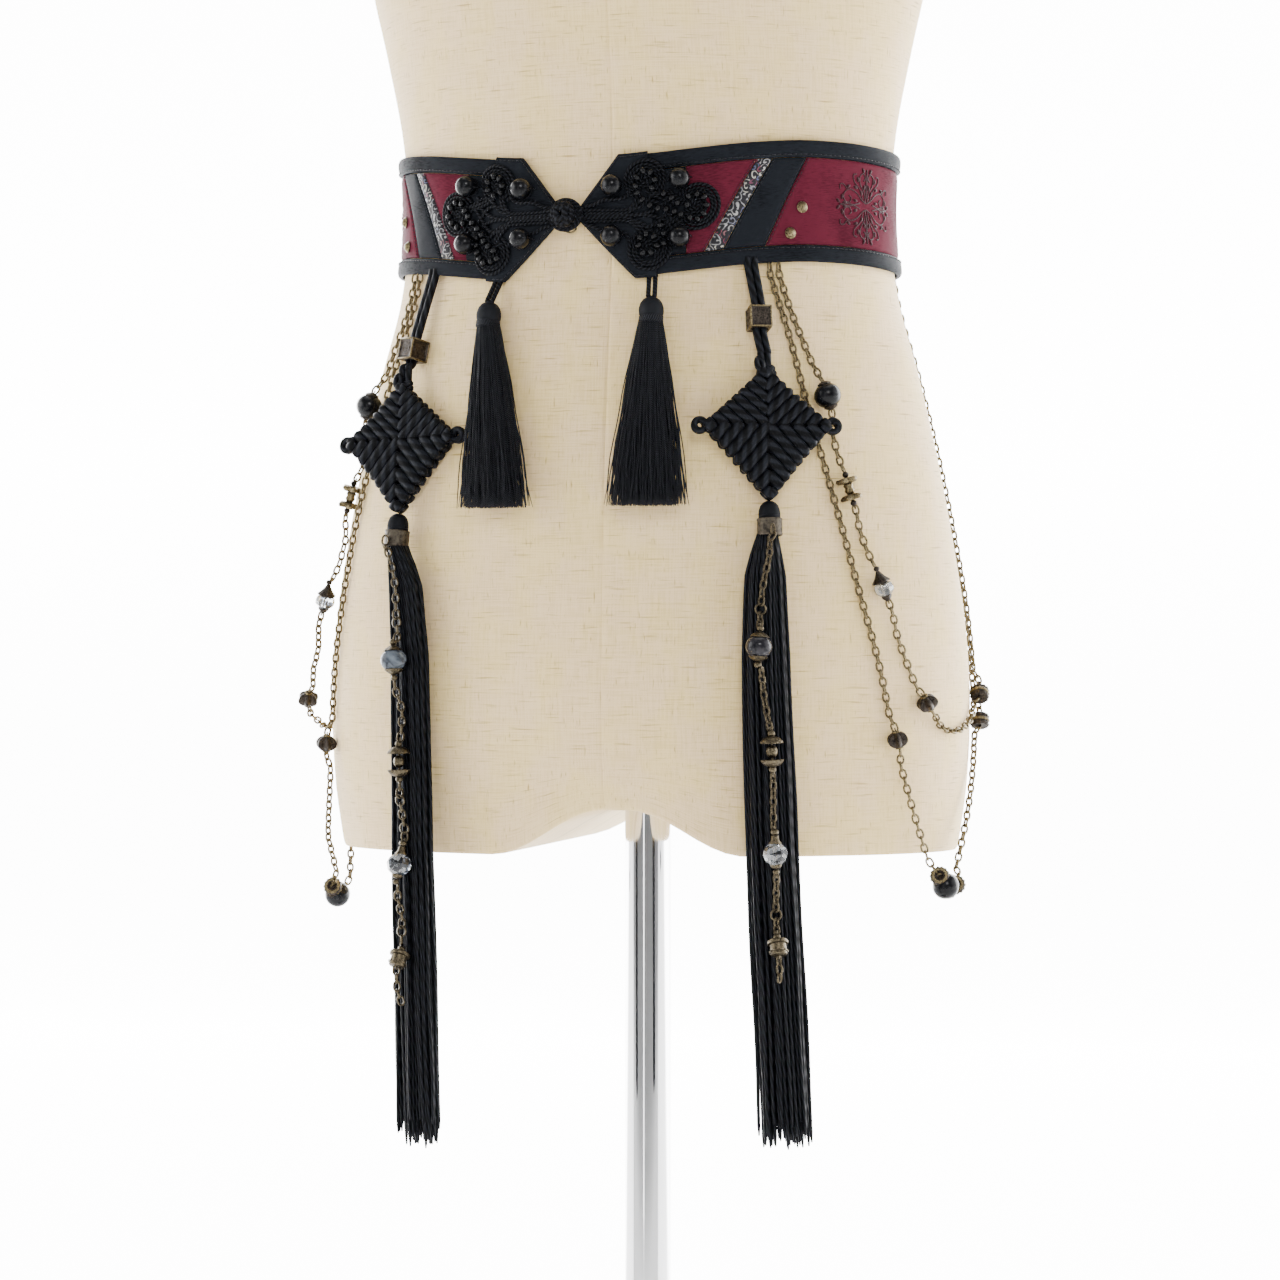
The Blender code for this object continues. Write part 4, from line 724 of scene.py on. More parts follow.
bead_strings = {
    "left": (((41.8, 14.2), (41.6, 18.2), (38.6, 20.4), (34.6, 19.4), (33.2, 15.8), (35.4, 12.4),
              (38.6, 11.6)),
             ((57.6, -3.2), (62.0, -4.6), (66.4, -2.0), (67.2, 2.6), (64.4, 6.2), (59.6, 6.8), (56.4, 3.0),
              (53.2, -0.8),
              (49.6, -4.0), (46.0, -8.0), (42.6, -12.0), (37.6, -15.4), (35.0, -19.0)),
             ((49.4, -9.4), (48.2, -14.2), (46.6, -18.8), (42.6, -21.6), (38.6, -20.8))),
    "right": (((41.0, 12.0), (42.2, 16.4), (40.0, 20.0), (35.8, 19.8), (33.4, 16.0), (33.8, 11.0),
               (37.0, 6.6),
               (41.2, 3.4), (45.6, 1.6), (50.6, 0.0), (56.0, -3.0), (61.4, -5.2), (65.8, -2.6), (67.0, 2.4),
               (63.6, 6.6), (58.6, 5.8)),
              ((46.4, 8.6), (50.2, 6.4), (53.6, 3.8), (57.4, 2.4)),
              ((35.2, -11.6), (38.0, -9.6), (42.0, -11.0), (43.4, -15.0), (40.8, -18.8), (36.6, -18.4),
               (35.0, -14.8)),
              ((45.4, -6.0), (46.8, -10.6), (47.0, -15.4))),
}
seed_pitch, seed_sway = 4.1 * mm, 0.35


def belt_surface(arc, height):
    """How far the band's face stands off the form near a place, in metres."""
    near = []
    for along in (-2.4, 0, 2.4):
        for up in (-2.4, 0, 2.4):
            s, h = abs(arc) / mm + along, height / mm + up
            if s < linear(h, point_rear) + 0.3:
                near.append(point_outer)
            else:
                near.append(binding_outer + binding_crown if abs(h) > panel_half / mm else panel_outer)
    return max(near)


def on_band(side, s, h, lift):
    """A point over the band's face in millimetres, kept smooth where the cloth steps."""
    near = [belt_surface((s + a) * mm, (h + b) * mm) for a in (-2, 0, 2) for b in (-2, 0, 2)]
    return belt_point(side * s * mm, h * mm, sum(near) / 9 + lift * mm)


def repeat_shape(shape, places):
    """One shape set at many frames."""
    base = np.array([tuple(p) for p in shape[0]], float)
    points, faces = [], []
    for n, place in enumerate(places):
        place = np.array(place)
        points.append(base @ place[:3, :3].T + place[:3, 3])
        faces += [tuple(i + n * len(base) for i in face) for face in shape[1]]
    return np.vstack(points), faces


def set_at(point, along, outward, roll=0.0):
    """A frame with Z along a cord and Y away from the form."""
    z = Vector(along).normalized()
    y = Vector(outward)
    y = (y - z * y.dot(z)).normalized()
    turn = Matrix((y.cross(z), y, z)).transposed().to_4x4()
    return Matrix.Translation(Vector(point)) @ turn @ Matrix.Rotation(roll, 4, "Z")


def ball_rows(radius, tall, steps=8, hole=0.0, middle=0.0):
    """Rows of a ball for the lathe in millimetres, with a hole's rim if it is drilled."""
    start = math.asin(hole / radius)
    angles = [-math.pi / 2 + start + (math.pi - 2 * start) * i / steps for i in range(steps + 1)]
    return [(radius * math.cos(a), tall * math.sin(a) + middle) for a in angles]


def twisted(name, colour, crest_highlight, plies, pitch, roughness, gloss, depth):
    """A twisted or plaited cord's finish: slanting plies with fine fibres, painted darker in the grooves as
    painted shade and paler on the crests as painted highlight.
    """
    made, shader = new_finish(name, colour, roughness, more={"Specular IOR Level": gloss})
    place = on_cloth(shader)
    split = add_node(shader, "SeparateXYZ", {"Vector": place}).outputs
    along = calc(shader, "MULTIPLY", split["Y"], full_turn / pitch)
    ply = calc(shader, "SINE", calc(shader, "MULTIPLY_ADD", split["X"], full_turn * plies, along))
    height = calc(shader, "MULTIPLY_ADD", ply, 0.9, drawn_noise(shader, place, 14, 2600))
    # Painted shade and painted highlight: the colour falls to a third in the grooves between plies and turns
    # pale on their crests.
    drive(shader, "Base Color", height, (0.0, tuple(0.35 * c for c in colour)), (0.55, colour), (1.3, crest_highlight))
    drive(shader, "Roughness", height, (0.0, roughness + 0.2), (1.0, roughness))
    relief(shader, height, depth, 0.0003)
    return made, "black_cord"


def glass(name, colour, deep, roughness, spots):
    """Dark pressed glass or stone with clouds in it and a polished face."""
    made, shader = new_finish(name, colour, roughness, more={"Specular IOR Level": 0.16})
    cloud = noise(shader, in_the_round(shader), spots, 4.0, Distortion=1.5)
    drive(shader, "Base Color", cloud, (0.35, deep), (0.65, colour))
    drive(shader, "Roughness", cloud, (0.3, roughness), (0.8, roughness + 0.1))
    relief(shader, cloud, 0.05, 0.0002)
    return made, "black_bead"


def couched_cords(side):
    """The frog's pair of cords and its braids; each petal has one braid round it and one coiled inside."""
    route = list(frog_stem)
    braids = [*braid_lines, *([(s, -h) for s, h in row] for row in braid_lines)]
    for centre, height, radius, first, last in frog_petals:
        def ray(reach, turn, centre=centre, height=height):
            return centre + reach * math.cos(turn), height + reach * math.sin(turn)

        route += [ray(radius, math.radians(first + (last - first) * i / 9)) for i in range(10)]
        braids.append([ray(radius + 2.6, math.radians(first + (last - first) * k / 22))
                       for k in range(1, 22)])
        coil = np.linspace(0, full_turn * (radius - 2.4) / coil_pitch, 40)
        braids.append([ray(radius - 2.3 - coil_pitch * a / full_turn, a + first) for a in coil])
    route = smooth_line(route + [(s, -h) for s, h in reversed(frog_stem)])
    cords = []
    for shift in (-cord_pair, cord_pair):
        path = []
        for i, (s, h) in enumerate(route):
            run, rise = route[min(i + 1, len(route) - 1)] - route[max(i - 1, 0)]
            long = math.hypot(run, rise)
            path.append(on_band(side, s - shift * rise / long, h + shift * run / long, 1.02))
        cords.append(cord_shape(path, cord_half))
    for row in braids:
        cords.append(cord_shape([on_band(side, s, h, 0.8) for s, h in smooth_line(row, 4)], braid_half))
    return cords


rayon_cord = twisted("black_rayon_cord", (0.0024, 0.0028, 0.0040), (0.0080, 0.0090, 0.0125),
                     2, 2.2 * mm, 0.5, 0.09, 0.6)
black_glass = glass("black_glass", (0.0050, 0.0055, 0.0070), (0.0015, 0.0015, 0.002), 0.2, 160)
for word, side in sides:
    make_piece("frog_cords_" + word, join(couched_cords(side)), rayon_cord, "frog_cord_" + word)
    seats, wobble = [], random.Random(len(word))
    middle = angle_at(side * 42 * mm)
    outward = on_form(middle, 1.0, 1.0) - on_form(middle, 1.0)
    for row in bead_strings[word]:
        places, tangents, _ = along_path([on_band(side, s, h, 2.6) for s, h in smooth_line(row, 8)],
                                         seed_pitch)
        for p, t in zip(places, tangents):
            off, rise = [wobble.uniform(-seed_sway, seed_sway) * mm for _ in range(2)]
            seats.append(set_at(Vector(p) + Vector((off, 0, rise)), t, outward, wobble.uniform(0, 6)))
    seeds = repeat_shape(turn_on_lathe(ball_rows(1.85, 1.45, 10, 0.5), 14), seats)
    make_piece("frog_seed_beads_" + word, seeds, black_glass)

# Round beads and studs. Eight drilled glass balls are sewn on in pairs with small rings under
# them, and two domed brass studs are pushed through each side panel beside its front seam.
front_beads = {"inner_high": (22.5, 14), "inner_low": (22.5, -10),
               "outer_high": (54, 15), "outer_low": (54, -13)}
studs = {"high": (114.5, -3), "low": (108, -15.5)}
seat_ring = ((3.4, -0.5), (4.2, -0.4), (4.4, 0), (4.2, 0.5), (3.6, 0.6), (3.2, 0.2), (3.4, -0.5))
seat_thread = ((-5.6, -4.6), (-5.75, -2), (-5.5, 0.2), (-5.1, 0.3))
stud_rows = ((0, 0), (2.75, 0), (2.85, 0.25), (2.6, 0.55), (2.15, 0.75), (2.0, 1.15), (1.6, 1.6), (1.0, 1.92),
             (0.45, 2.06), (0, 2.1))
ball_lift, ring_drop, stud_lift = 5.3 * mm, 4.4 * mm, 0.3 * mm


def antique(name, colour, dark, rough, metallic, spots):
    """Old plated brass: worn bright patches over dark tarnish, with fine pits."""
    made, shader = new_finish(name, colour, rough, metallic)
    wear = noise(shader, in_the_round(shader), spots, 5.0, Roughness=0.65)
    bright = tuple(min(1, 1.35 * c) for c in colour)
    drive(shader, "Base Color", wear, (0.36, dark), (0.52, colour), (0.72, bright))
    drive(shader, "Roughness", wear, (0.35, rough + 0.2), (0.7, rough))
    relief(shader, wear, 0.35, 0.0002)
    return made, "antique_brass"


def belt_frame(arc, height, out):
    """A frame on the band's face: X along it, Z straight out of it."""
    x = (belt_point(arc + 0.5 * mm, height, out) - belt_point(arc - 0.5 * mm, height, out)).normalized()
    y = (belt_point(arc, height + 2 * mm, out) - belt_point(arc, height - 2 * mm, out)).normalized()
    z = x.cross(y).normalized()
    return Matrix.Translation(belt_point(arc, height, out)) @ Matrix((x, z.cross(x), z)).transposed().to_4x4()


def in_frame(place, *spot):
    """A point of a frame, given in millimetres."""
    return place @ Vector([c * mm for c in spot])


old_brass = antique("antique_brass_metal", (0.165, 0.131, 0.070), (0.020, 0.016, 0.011), 0.33, 1.0, 1500)
dark_bronze = antique("dark_bronze_metal", (0.036, 0.029, 0.023), (0.005, 0.0042, 0.0038), 0.36, 0.9, 1300)
for word, side in sides:
    for name, (s, h) in front_beads.items():
        seat = belt_frame(side * s * mm, h * mm, belt_surface(s * mm, h * mm) + ball_lift)
        lying = seat @ Matrix.Rotation(math.radians(90), 4, "Y")
        ball = turn_on_lathe(ball_rows(5.25, 5.1, 20, 0.7), 32, lying)
        make_piece(f"glass_ball_{word}_{name}", ball, black_glass, f"bead_{word}_{name}")
        lace = []
        for sign in (1, -1):
            strand = [in_frame(seat, sign * x, 0, z) for x, z in seat_thread]
            lace.append(cord_shape(smooth_line(strand, 4), 0.3 * mm, 6))
        lace.append(turn_on_lathe(seat_ring, 24, seat @ Matrix.Translation((0, 0, -ring_drop))))
        make_piece(f"ball_seat_{word}_{name}", join(lace), rayon_cord)
    for name, (s, h) in studs.items():
        dome = turn_on_lathe(stud_rows, 24, belt_frame(side * s * mm, h * mm, panel_outer + stud_lift))
        make_piece(f"domed_stud_{word}_{name}", dome, old_brass, f"stud_{word}_{name}")

# Closure. A ball knot worked in thick black cord is held by the cord loop that joins both points; a
# small brass hook under it takes the strain.
closure_s, closure_h, closure_lift = -1.0 * mm, 0.6 * mm, point_outer + 0.3 * mm
knot_half, knot_tall, knot_deep, knot_shift, wrap_half = 4.7 * mm, 1.16, 3.9 * mm, 1.75 * 0.26, 1.75 * mm
loop_stretch, loop_rounds = 1.08, ((6.0, 0.1), (7.3, -0.3))
loop_ends = ((-11, 2.4), (-11, -1.2), (9, 2.6), (9, -1.4))
hook_line = ((-4.5, 0.8, 0), (-3.0, -0.8, 0.3), (-0.6, -1.3, 0.7), (1.4, -0.4, 0.8), (1.6, 1.0, 0.8),
             (0.2, 1.6, 0.8))


def round_cord(at, count, radius, sides):
    """A cord closed on itself, through a point for each of its angles."""
    return cord_shape([at(full_turn * k / count) for k in range(count)], radius, sides, closed=True)


def knot_wraps(place):
    """Cords wound over a ball, two round each of its three axes."""
    shapes = []
    ring = math.sqrt(1 - knot_shift ** 2)
    for axis in range(3):
        for shift in (-knot_shift, knot_shift):
            def wrap(a, axis=axis, shift=shift):
                wave = ring * (1 + 0.05 * math.cos(2 * a + axis * math.pi))
                p = np.roll([wave * math.cos(a), wave * math.sin(a), shift], axis)
                return place @ Vector((p[0] * knot_half, p[1] * knot_tall * knot_half, p[2] * knot_deep))

            shapes.append(round_cord(wrap, 28, wrap_half, 7))
    return join(shapes)


knot_place = belt_frame(closure_s, closure_h, closure_lift + 4.2 * mm)
make_piece("ball_knot", knot_wraps(knot_place), rayon_cord, "closure_knot")
loop_place = belt_frame(closure_s, closure_h, closure_lift + 1.2 * mm)
loops = []
for radius, depth in loop_rounds:
    loops.append(round_cord(lambda a: in_frame(loop_place, radius * loop_stretch * math.cos(a),
                                               radius * math.sin(a), depth), 32, 0.95 * mm, 8))
for s, h in loop_ends:
    start = in_frame(loop_place, math.copysign(5.5, s), h * 0.7, 0)
    end = belt_point((s - 1.0) * mm, (h + 0.6) * mm, point_outer + 1.1 * mm)
    middle = (start + end) / 2 + Vector((0, -0.6 * mm, 0))
    loops.append(cord_shape(smooth_line([start, middle, end]), 0.9 * mm))
make_piece("closing_loop", join(loops), rayon_cord, "closure_loop")
hook_place = belt_frame(2.2 * mm, -6.6 * mm, point_outer - 1.0 * mm)
hook = cord_shape(smooth_line([in_frame(hook_place, *spot) for spot in hook_line]), 0.45 * mm)
make_piece("closing_hook", hook, old_brass)

# Short tassels. Under each point a small cord loop holds a tassel of fine black rayon: a domed head
# wrapped in its own thread and a full straight-cut skirt.
hip_height = 760 * mm
short_tassels = {"left": (-37 * mm, 7 * mm), "right": (41 * mm, 1.5 * mm)}
short_opening = ((0, 0), (0.1, 0.14), (0.3, 0.38), (0.6, 0.69), (1, 1))
skirt_outs, short_spread, short_length = (6.6 * mm, 8.9 * mm), (18.6 * mm, 7.4 * mm), 100 * mm
loop_gap, short_drop, short_height = 1.3 * mm, 8.8 * mm, 21 * mm
short_head = ((0, -0.1), (2.2, -0.35), (3.9, -1.4), (5.1, -3.0), (5.75, -5.2), (5.9, -6.8), (5.75, -8.4),
              (5.3, -9.6),
              (4.8, -10.4), (4.6, -13), (4.2, -20), (0, -21))
golden_turn = 2.399963


def form_frame(angle, height, out=0.0):
    """A frame on the form: X along it, Y into it, Z up its slope."""
    along = (on_form(angle + 0.002, height) - on_form(angle - 0.002, height)).normalized()
    slope = (on_form(angle, height + 10 * mm) - on_form(angle, height - 10 * mm)).normalized()
    inward = -along.cross(slope).normalized()
    turn = Matrix((along, inward, along.cross(inward))).transposed().to_4x4()
    return Matrix.Translation(on_form(angle, height, out)) @ turn


def hang_point(angle, height, out):
    """A point that lies on the form down to the hip and hangs plumb below it."""
    point = on_form(angle, max(height, hip_height), out)
    point.z = height
    return point


def hang_angle(x, height, out):
    """The angle round the form of what hangs at a distance to the side of its middle plane."""
    return math.asin(x / (form_size(max(height, hip_height), 1) + out))


def hang_at(x, height, out):
    """A point that hangs on the form at a distance to the side of its middle plane."""
    return hang_point(hang_angle(x, height, out), height, out)


def skirt_paths(seed, place, line, foot, root_radius, floor, count, spread, opening, steps,
                ragged, loose, frill, stray=0):
    """Paths of a tassel's threads, from under its head to its foot, as an array.

    line gives the skirt's middle at a height and a share of its opening; every stray-th thread
    stands a little outside the others.
    """
    rng = random.Random(seed)
    root = place @ Vector((0, 0, floor))
    turn = place.to_3x3()
    middles = []
    for u in (j / (steps - 1) for j in range(steps)):
        opened = linear(u, opening)
        middles.append((u, opened, line(root.z + (foot - root.z) * u, opened)))
    paths = []
    for k in range(count):
        x, y = math.cos(k * golden_turn), math.sin(k * golden_turn)
        share = math.sqrt((k + 0.5) / count)
        start = turn @ Vector((share * root_radius * x, share * root_radius * y, 0))
        wide = share * (1 + loose * rng.uniform(-1, 0.35) ** 3)
        if stray and k % stray == 0:
            wide = rng.uniform(1.0, 1.2)
        reach = turn @ Vector((spread[0] * wide * x, spread[1] * wide * y, 0))
        length = 1 + ragged * rng.uniform(-1, 0.25)
        phase, beat, bow = rng.uniform(0, 6.28), rng.uniform(1.5, 3.2), rng.uniform(-1, 1)
        path = []
        for u, opened, middle in middles:
            wave = frill * (math.sin(phase + beat * 6.28 * u) * u + bow * 1.5 * u * (1 - u))
            point = middle + start * (1 - opened) + reach * opened + turn @ Vector((wave, 0.5 * wave, 0))
            point.z = root.z + (middle.z - root.z) * length
            path.append(tuple(point))
        paths.append(path)
    return np.array(paths)


def thread_bundle(paths, radius, sides=4):
    """Fine cords along many hanging paths: points, faces and places round and along each."""
    bundle, count = paths.shape[:2]
    forward = np.gradient(paths, axis=1)
    forward /= np.linalg.norm(forward, axis=2)[..., None]
    across = np.cross(forward, (0.0, 1.0, 0.0))
    across /= np.linalg.norm(across, axis=2)[..., None]
    taper = np.full((1, count, 1, 1), radius)
    taper[:, -1] *= 0.45
    turns = (np.arange(sides) * full_turn / sides)[:, None]
    rings = np.cos(turns) * across[:, :, None] + np.sin(turns) * np.cross(forward, across)[:, :, None]
    points = paths[:, :, None] + taper * rings
    index = np.arange(bundle * count * sides).reshape(bundle, count, sides)
    low, high = index[:, :-1], index[:, 1:]
    quads = np.stack([low, np.roll(low, -1, 2), np.roll(high, -1, 2), high], -1).reshape(-1, 4)
    run = np.cumsum(np.linalg.norm(np.diff(paths, axis=1), axis=2), 1)
    far = np.repeat(run[:, :, None], sides, 2)
    near = np.concatenate([np.zeros((bundle, 1, sides)), far[:, :-1]], 1)
    left = np.broadcast_to(np.arange(sides) / sides, near.shape)
    right = left + 1 / sides
    corners = [np.stack(pair, -1) for pair in ((left, near), (right, near), (right, far), (left, far))]
    ends = np.concatenate([index[:, 0, ::-1], index[:, -1]], 0)
    faces = [tuple(face) for face in quads.tolist() + ends.tolist()]
    cloth = np.stack(corners, -2).reshape(-1, 2).tolist() + [(0.5, 0.0)] * ends.size
    return points.reshape(-1, 3), faces, cloth


def wrapped_head(rows, place, neck, turns, low, high):
    """A head of gathered thread: a ribbed dome with a thread wound round its neck."""
    count = turns * 20
    path = [in_frame(place, neck * math.cos(full_turn * i / 20), neck * math.sin(full_turn * i / 20),
                     low + (high - low) * i / count) for i in range(count + 1)]
    return [turn_on_lathe(rows, 72, place, lobes=36, lobe_depth=0.022), cord_shape(path, 0.4 * mm, 6)]


rayon_thread = twisted("black_rayon_thread", (0.0064, 0.0072, 0.0094), (0.0180, 0.0198, 0.0250),
                       2, 1.1 * mm, 0.45, 0.1, 0.4)
for word, (arc, sway) in short_tassels.items():
    top = belt_point(arc, point_low[1][1] * mm - loop_gap, 2.6 * mm)
    place = form_frame(angle_at(arc), top.z - short_drop, skirt_outs[0])
    low = place @ Vector((0, 0, loop_gap))
    along = (place.to_3x3() @ Vector((1, 0, 0))).normalized()
    down = (low - top).normalized()

    def loop_at(a, top=top, low=low, along=along, down=down):
        """A point of the loop, which is two half rings with straight cord between them."""
        a += math.pi / 28
        middle = top - down * 2.4 * mm if math.sin(a) > 0 else low + down * 0.6 * mm
        return middle + 1.55 * mm * (math.cos(a) * along - math.sin(a) * down)

    make_piece("tassel_loop_" + word, round_cord(loop_at, 28, 1.15 * mm, 10), rayon_cord,
               "short_loop_" + word)
    root = place @ Vector((0, 0, -short_height))

    def line(height, opened, root=root, sway=sway):
        start = hang_at(root.x, height, skirt_outs[0])
        return start + (hang_at(root.x + sway, height, skirt_outs[1]) - start) * opened

    paths = skirt_paths(21 + len(word), place, line, top.z - short_drop - short_length, root_radius=5.2 * mm,
                        floor=-9.6 * mm, count=560, spread=short_spread, opening=short_opening, steps=13,
                        ragged=0.011, loose=0.55, frill=0.55 * mm, stray=29)
    head = wrapped_head(short_head, place, 5.5, 6, -9.6, -12.6)
    make_piece("short_tassel_threads_" + word, join([thread_bundle(paths, 0.27 * mm), *head]), rayon_thread,
               "short_tassel_" + word)

# Hanging cords. On each side a satin cord folded in two comes from under the band, runs through a
# square metal bead and ends in the knotted diamond.
hanging = {
    "left": {"cord_angle": -48.7, "cube_angle": -48.6, "cube_height": 931.6, "knot_angle": -44.5,
             "knot_height": 887.1, "knot_turn": -14.3, "knot_roll": 5.5, "knot_off": 5.8, "end_height": 549.0,
             "tassel_line": ((550, -93.0), (690, -97.0), (785, -96.6), (825, -99.2), (842, -102.4),
                             (856, -107.0)),
             "pendant_shift": ((640, -1.1), (690, 2.2), (745, 1.8), (780, 0.8), (800, 0.3), (820, 0.9),
                               (830, 0.0))},
    "right": {"cord_angle": 31.7, "cube_angle": 32.1, "cube_height": 943.3, "knot_angle": 31.3,
              "knot_height": 891.6, "knot_turn": 0.0, "knot_roll": 0.0, "knot_off": 2.8, "end_height": 553.0,
              "tassel_line": ((550, 89.5), (690, 83.0), (785, 80.1), (842, 78.5), (856, 78.0)),
              "pendant_shift": ((640, -2.0), (700, -1.0), (745, -1.0), (785, -6.0), (815, -3.0), (830, 0.0))},
}
knot_wide, knot_up, knot_down, knot_back = 30.6 * mm, 27.5 * mm, 36 * mm, 3.4 * mm
crown_gap, neck_rise, cube_hold, leg_shift, leg_half = 1.5 * mm, 6.3 * mm, 6.25 * mm, 1.75, 1.74 * mm
satin_cord = twisted("black_satin_cord", (0.0032, 0.0038, 0.0054), (0.0072, 0.0083, 0.0116),
                     3, 7.5 * mm, 0.45, 0.09, 0.2)


def knot_frame(row):
    """The frame of a knotted diamond at its middle: X along it, Y into the form, Z up."""
    place = form_frame(math.radians(row["knot_angle"]), row["knot_height"] * mm,
                       knot_back + row["knot_off"] * mm)
    return (place @ Matrix.Rotation(math.radians(-row["knot_turn"]), 4, "Z")
            @ Matrix.Rotation(math.radians(-row["knot_roll"]), 4, "Y"))


def cube_frame(row):
    """The frame of a cube bead at its middle."""
    return form_frame(math.radians(row["cube_angle"]), row["cube_height"] * mm, 6.2 * mm)


for word, row in hanging.items():
    angle = math.radians(row["cord_angle"])
    arc = float(np.interp(angle, arc_angles, arcs)) - closure_shift
    cube, neck = cube_frame(row), knot_frame(row)
    head = form_frame(angle, middle_height(arc) - half_height - 2 * mm, 3.4 * mm)
    neck.translation = neck @ Vector((0, 0, knot_up + crown_gap + neck_rise))
    stations = [head] + [cube @ Matrix.Translation((0, 0, z)) for z in (cube_hold, -cube_hold)]
    stations += [neck @ Matrix.Translation((0, 0, 1 * mm)), neck]
    legs = []
    for leg, shift in (("outer", -leg_shift), ("inner", leg_shift)):
        route = [in_frame(head, shift, 0.4, 5.2)] + [in_frame(place, shift, 0, 0) for place in stations]
        path, _, run = along_path(smooth_line(route, 10), 1.2 * mm)
        cord = make_piece(f"hanging_cord_{word}_{leg}", cord_shape(path, leg_half, 14), satin_cord)
        legs.append(cord)
    for cord in legs:
        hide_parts("cord_" + word)

# Cube beads. Cast bronze cubes with worn edges and a sunk panel with a small raised figure on each
# face; the folded cord runs through the oval hole.
cube_half, cube_round, cube_grid, cube_hole = 5.25, 0.9, 12, (4.2, 2.7)
panel_edge, panel_sunk, figure_half, wire_inset, wire_half = (3.9, 3.6), (-0.25, -0.55), 3.2, 0.32, 0.5 * mm


def cube_point(axis, sign, u, v):
    """A place on a cube's face, with rounded corners and the sunk panel, in millimetres."""
    flat = Vector((0, 0, 0))
    flat[axis], flat[(axis + 1) % 3], flat[(axis + 2) % 3] = sign * cube_half, u, v
    key = tuple(round(c, 4) for c in flat)
    inner = Vector([max(cube_round - cube_half, min(cube_half - cube_round, c)) for c in flat])
    spot = inner + (flat - inner).normalized() * cube_round
    far, off = max(abs(u), abs(v)), math.hypot(u, v)
    if axis != 2 and far < panel_edge[0]:
        figure = 0.5 * max(0.0, math.cos(off * 2.2)) * (0.6 + 0.4 * math.cos(4 * math.atan2(v, u)))
        spot[axis] += sign * (panel_sunk[far < panel_edge[1]] + figure * (off < figure_half))
    return key, spot


def cube_shape(place):
    """A cube bead with rounded corners, an oval hole and a sunk panel on each of four sides."""
    bm = bmesh.new()
    made = {}
    marks = [2 * cube_half * i / cube_grid - cube_half for i in range(cube_grid + 1)]
    for axis in range(3):
        for sign in (-1, 1):
            for u0, u1 in zip(marks, marks[1:]):
                for v0, v1 in zip(marks, marks[1:]):
                    reach = math.hypot((u0 + u1) / 2 / cube_hole[0], (v0 + v1) / 2 / cube_hole[1])
                    if axis == 2 and reach < 1:
                        continue
                    corners = []
                    for u, v in ((u0, v0), (u1, v0), (u1, v1), (u0, v1)):
                        key, spot = cube_point(axis, sign, u, v)
                        if key not in made:
                            made[key] = bm.verts.new(place @ (spot * mm))
                        corners.append(made[key])
                    bm.faces.new(corners)
    rims = {True: [], False: []}
    for edge in [e for e in bm.edges if e.is_boundary]:
        rims[(place.inverted() @ edge.verts[0].co).z > 0].append(edge)
    bmesh.ops.bridge_loops(bm, edges=rims[True] + rims[False])
    bm.verts.index_update()
    shape = [v.co.copy() for v in bm.verts], [tuple(v.index for v in f.verts) for f in bm.faces]
    bm.free()
    return shape


for word, row in hanging.items():
    cube = cube_frame(row)
    make_piece("bronze_cube_" + word, cube_shape(cube), dark_bronze, "cube_bead_" + word, sharp=40)
    h = cube_half - wire_inset
    wires = [cord_shape([in_frame(cube, a * h, b * h, z) for z in np.linspace(-h, h, 7)], wire_half)
             for a, b in ((-1, -1), (1, -1), (1, 1), (-1, 1))]
    square = ((-h, -h), (0, -h), (h, -h), (h, 0), (h, h), (0, h), (-h, h), (-h, 0))
    for z in (-h, h):
        wires.append(cord_shape([in_frame(cube, x, y, z) for x, y in square], wire_half, closed=True))
    make_piece("cube_edges_" + word, join(wires), old_brass)

# Knotted diamonds. Each is worked flat in satin cord, its ribs square to the four edges and folded
# where they meet on the middle lines, with a loop at both side corners and a wrapped ball on top.
knot_ribs, ear_radius, shortest_rib, core_share = 9, 3.2 * mm, 2.4 * mm, 0.9
crown_wraps = ((-2.9, 0.6, 1.5, 3.0, -1.2), (0.6, -3.6, 3.6, 1.2, -1.4), (0.3, -1.2, 3.4, 1.1, -1.0))


def rib(place, start, end, radius):
    """One cord rib of a knot from its fold on the middle line to the knot's edge."""
    path, radii = [], []
    for u in (k / 11 for k in range(12)):
        spot = start + (end - start) * u
        sag = math.sin(math.pi * (0.12 + 0.88 * u)) * 0.35 * mm
        path.append(place @ Vector((spot.x, -1.7 * mm - sag, spot.y)))
        radii.append(radius * min(1.0, 0.35 + 2.2 * (1 - u) ** 0.5) * (1.0 if u else 0.88))
    return cord_shape(path, radii, 10)


def knot_field(place, sx, sz, tall):
    """The ribs of one quarter of a diamond, in front and behind."""
    long = math.hypot(tall, knot_wide)
    outward = Vector((tall, knot_wide)) / long
    shapes = []
    for u in ((j + 0.5) / knot_ribs for j in range(knot_ribs)):
        axis = Vector((0, tall * (1 - 2 * u))) if u < 0.5 else Vector((knot_wide * (2 * u - 1), 0))
        stop = Vector((knot_wide * u, tall * (1 - u))) + outward * 0.75 * mm
        a, b = Vector((sx * axis.x, sz * axis.y)), Vector((sx * stop.x, sz * stop.y))
        a = a - (b - a).normalized() * (1.1 if sx * sz > 0 else 0.2) * mm
        if (b - a).length < shortest_rib:
            a = b - (b - a).normalized() * shortest_rib
        for depth in (0.0, 3.5):
            shapes.append(rib(place @ Matrix.Translation((0, depth * mm, 0)), a, b, 0.56 * long / knot_ribs))
    return shapes


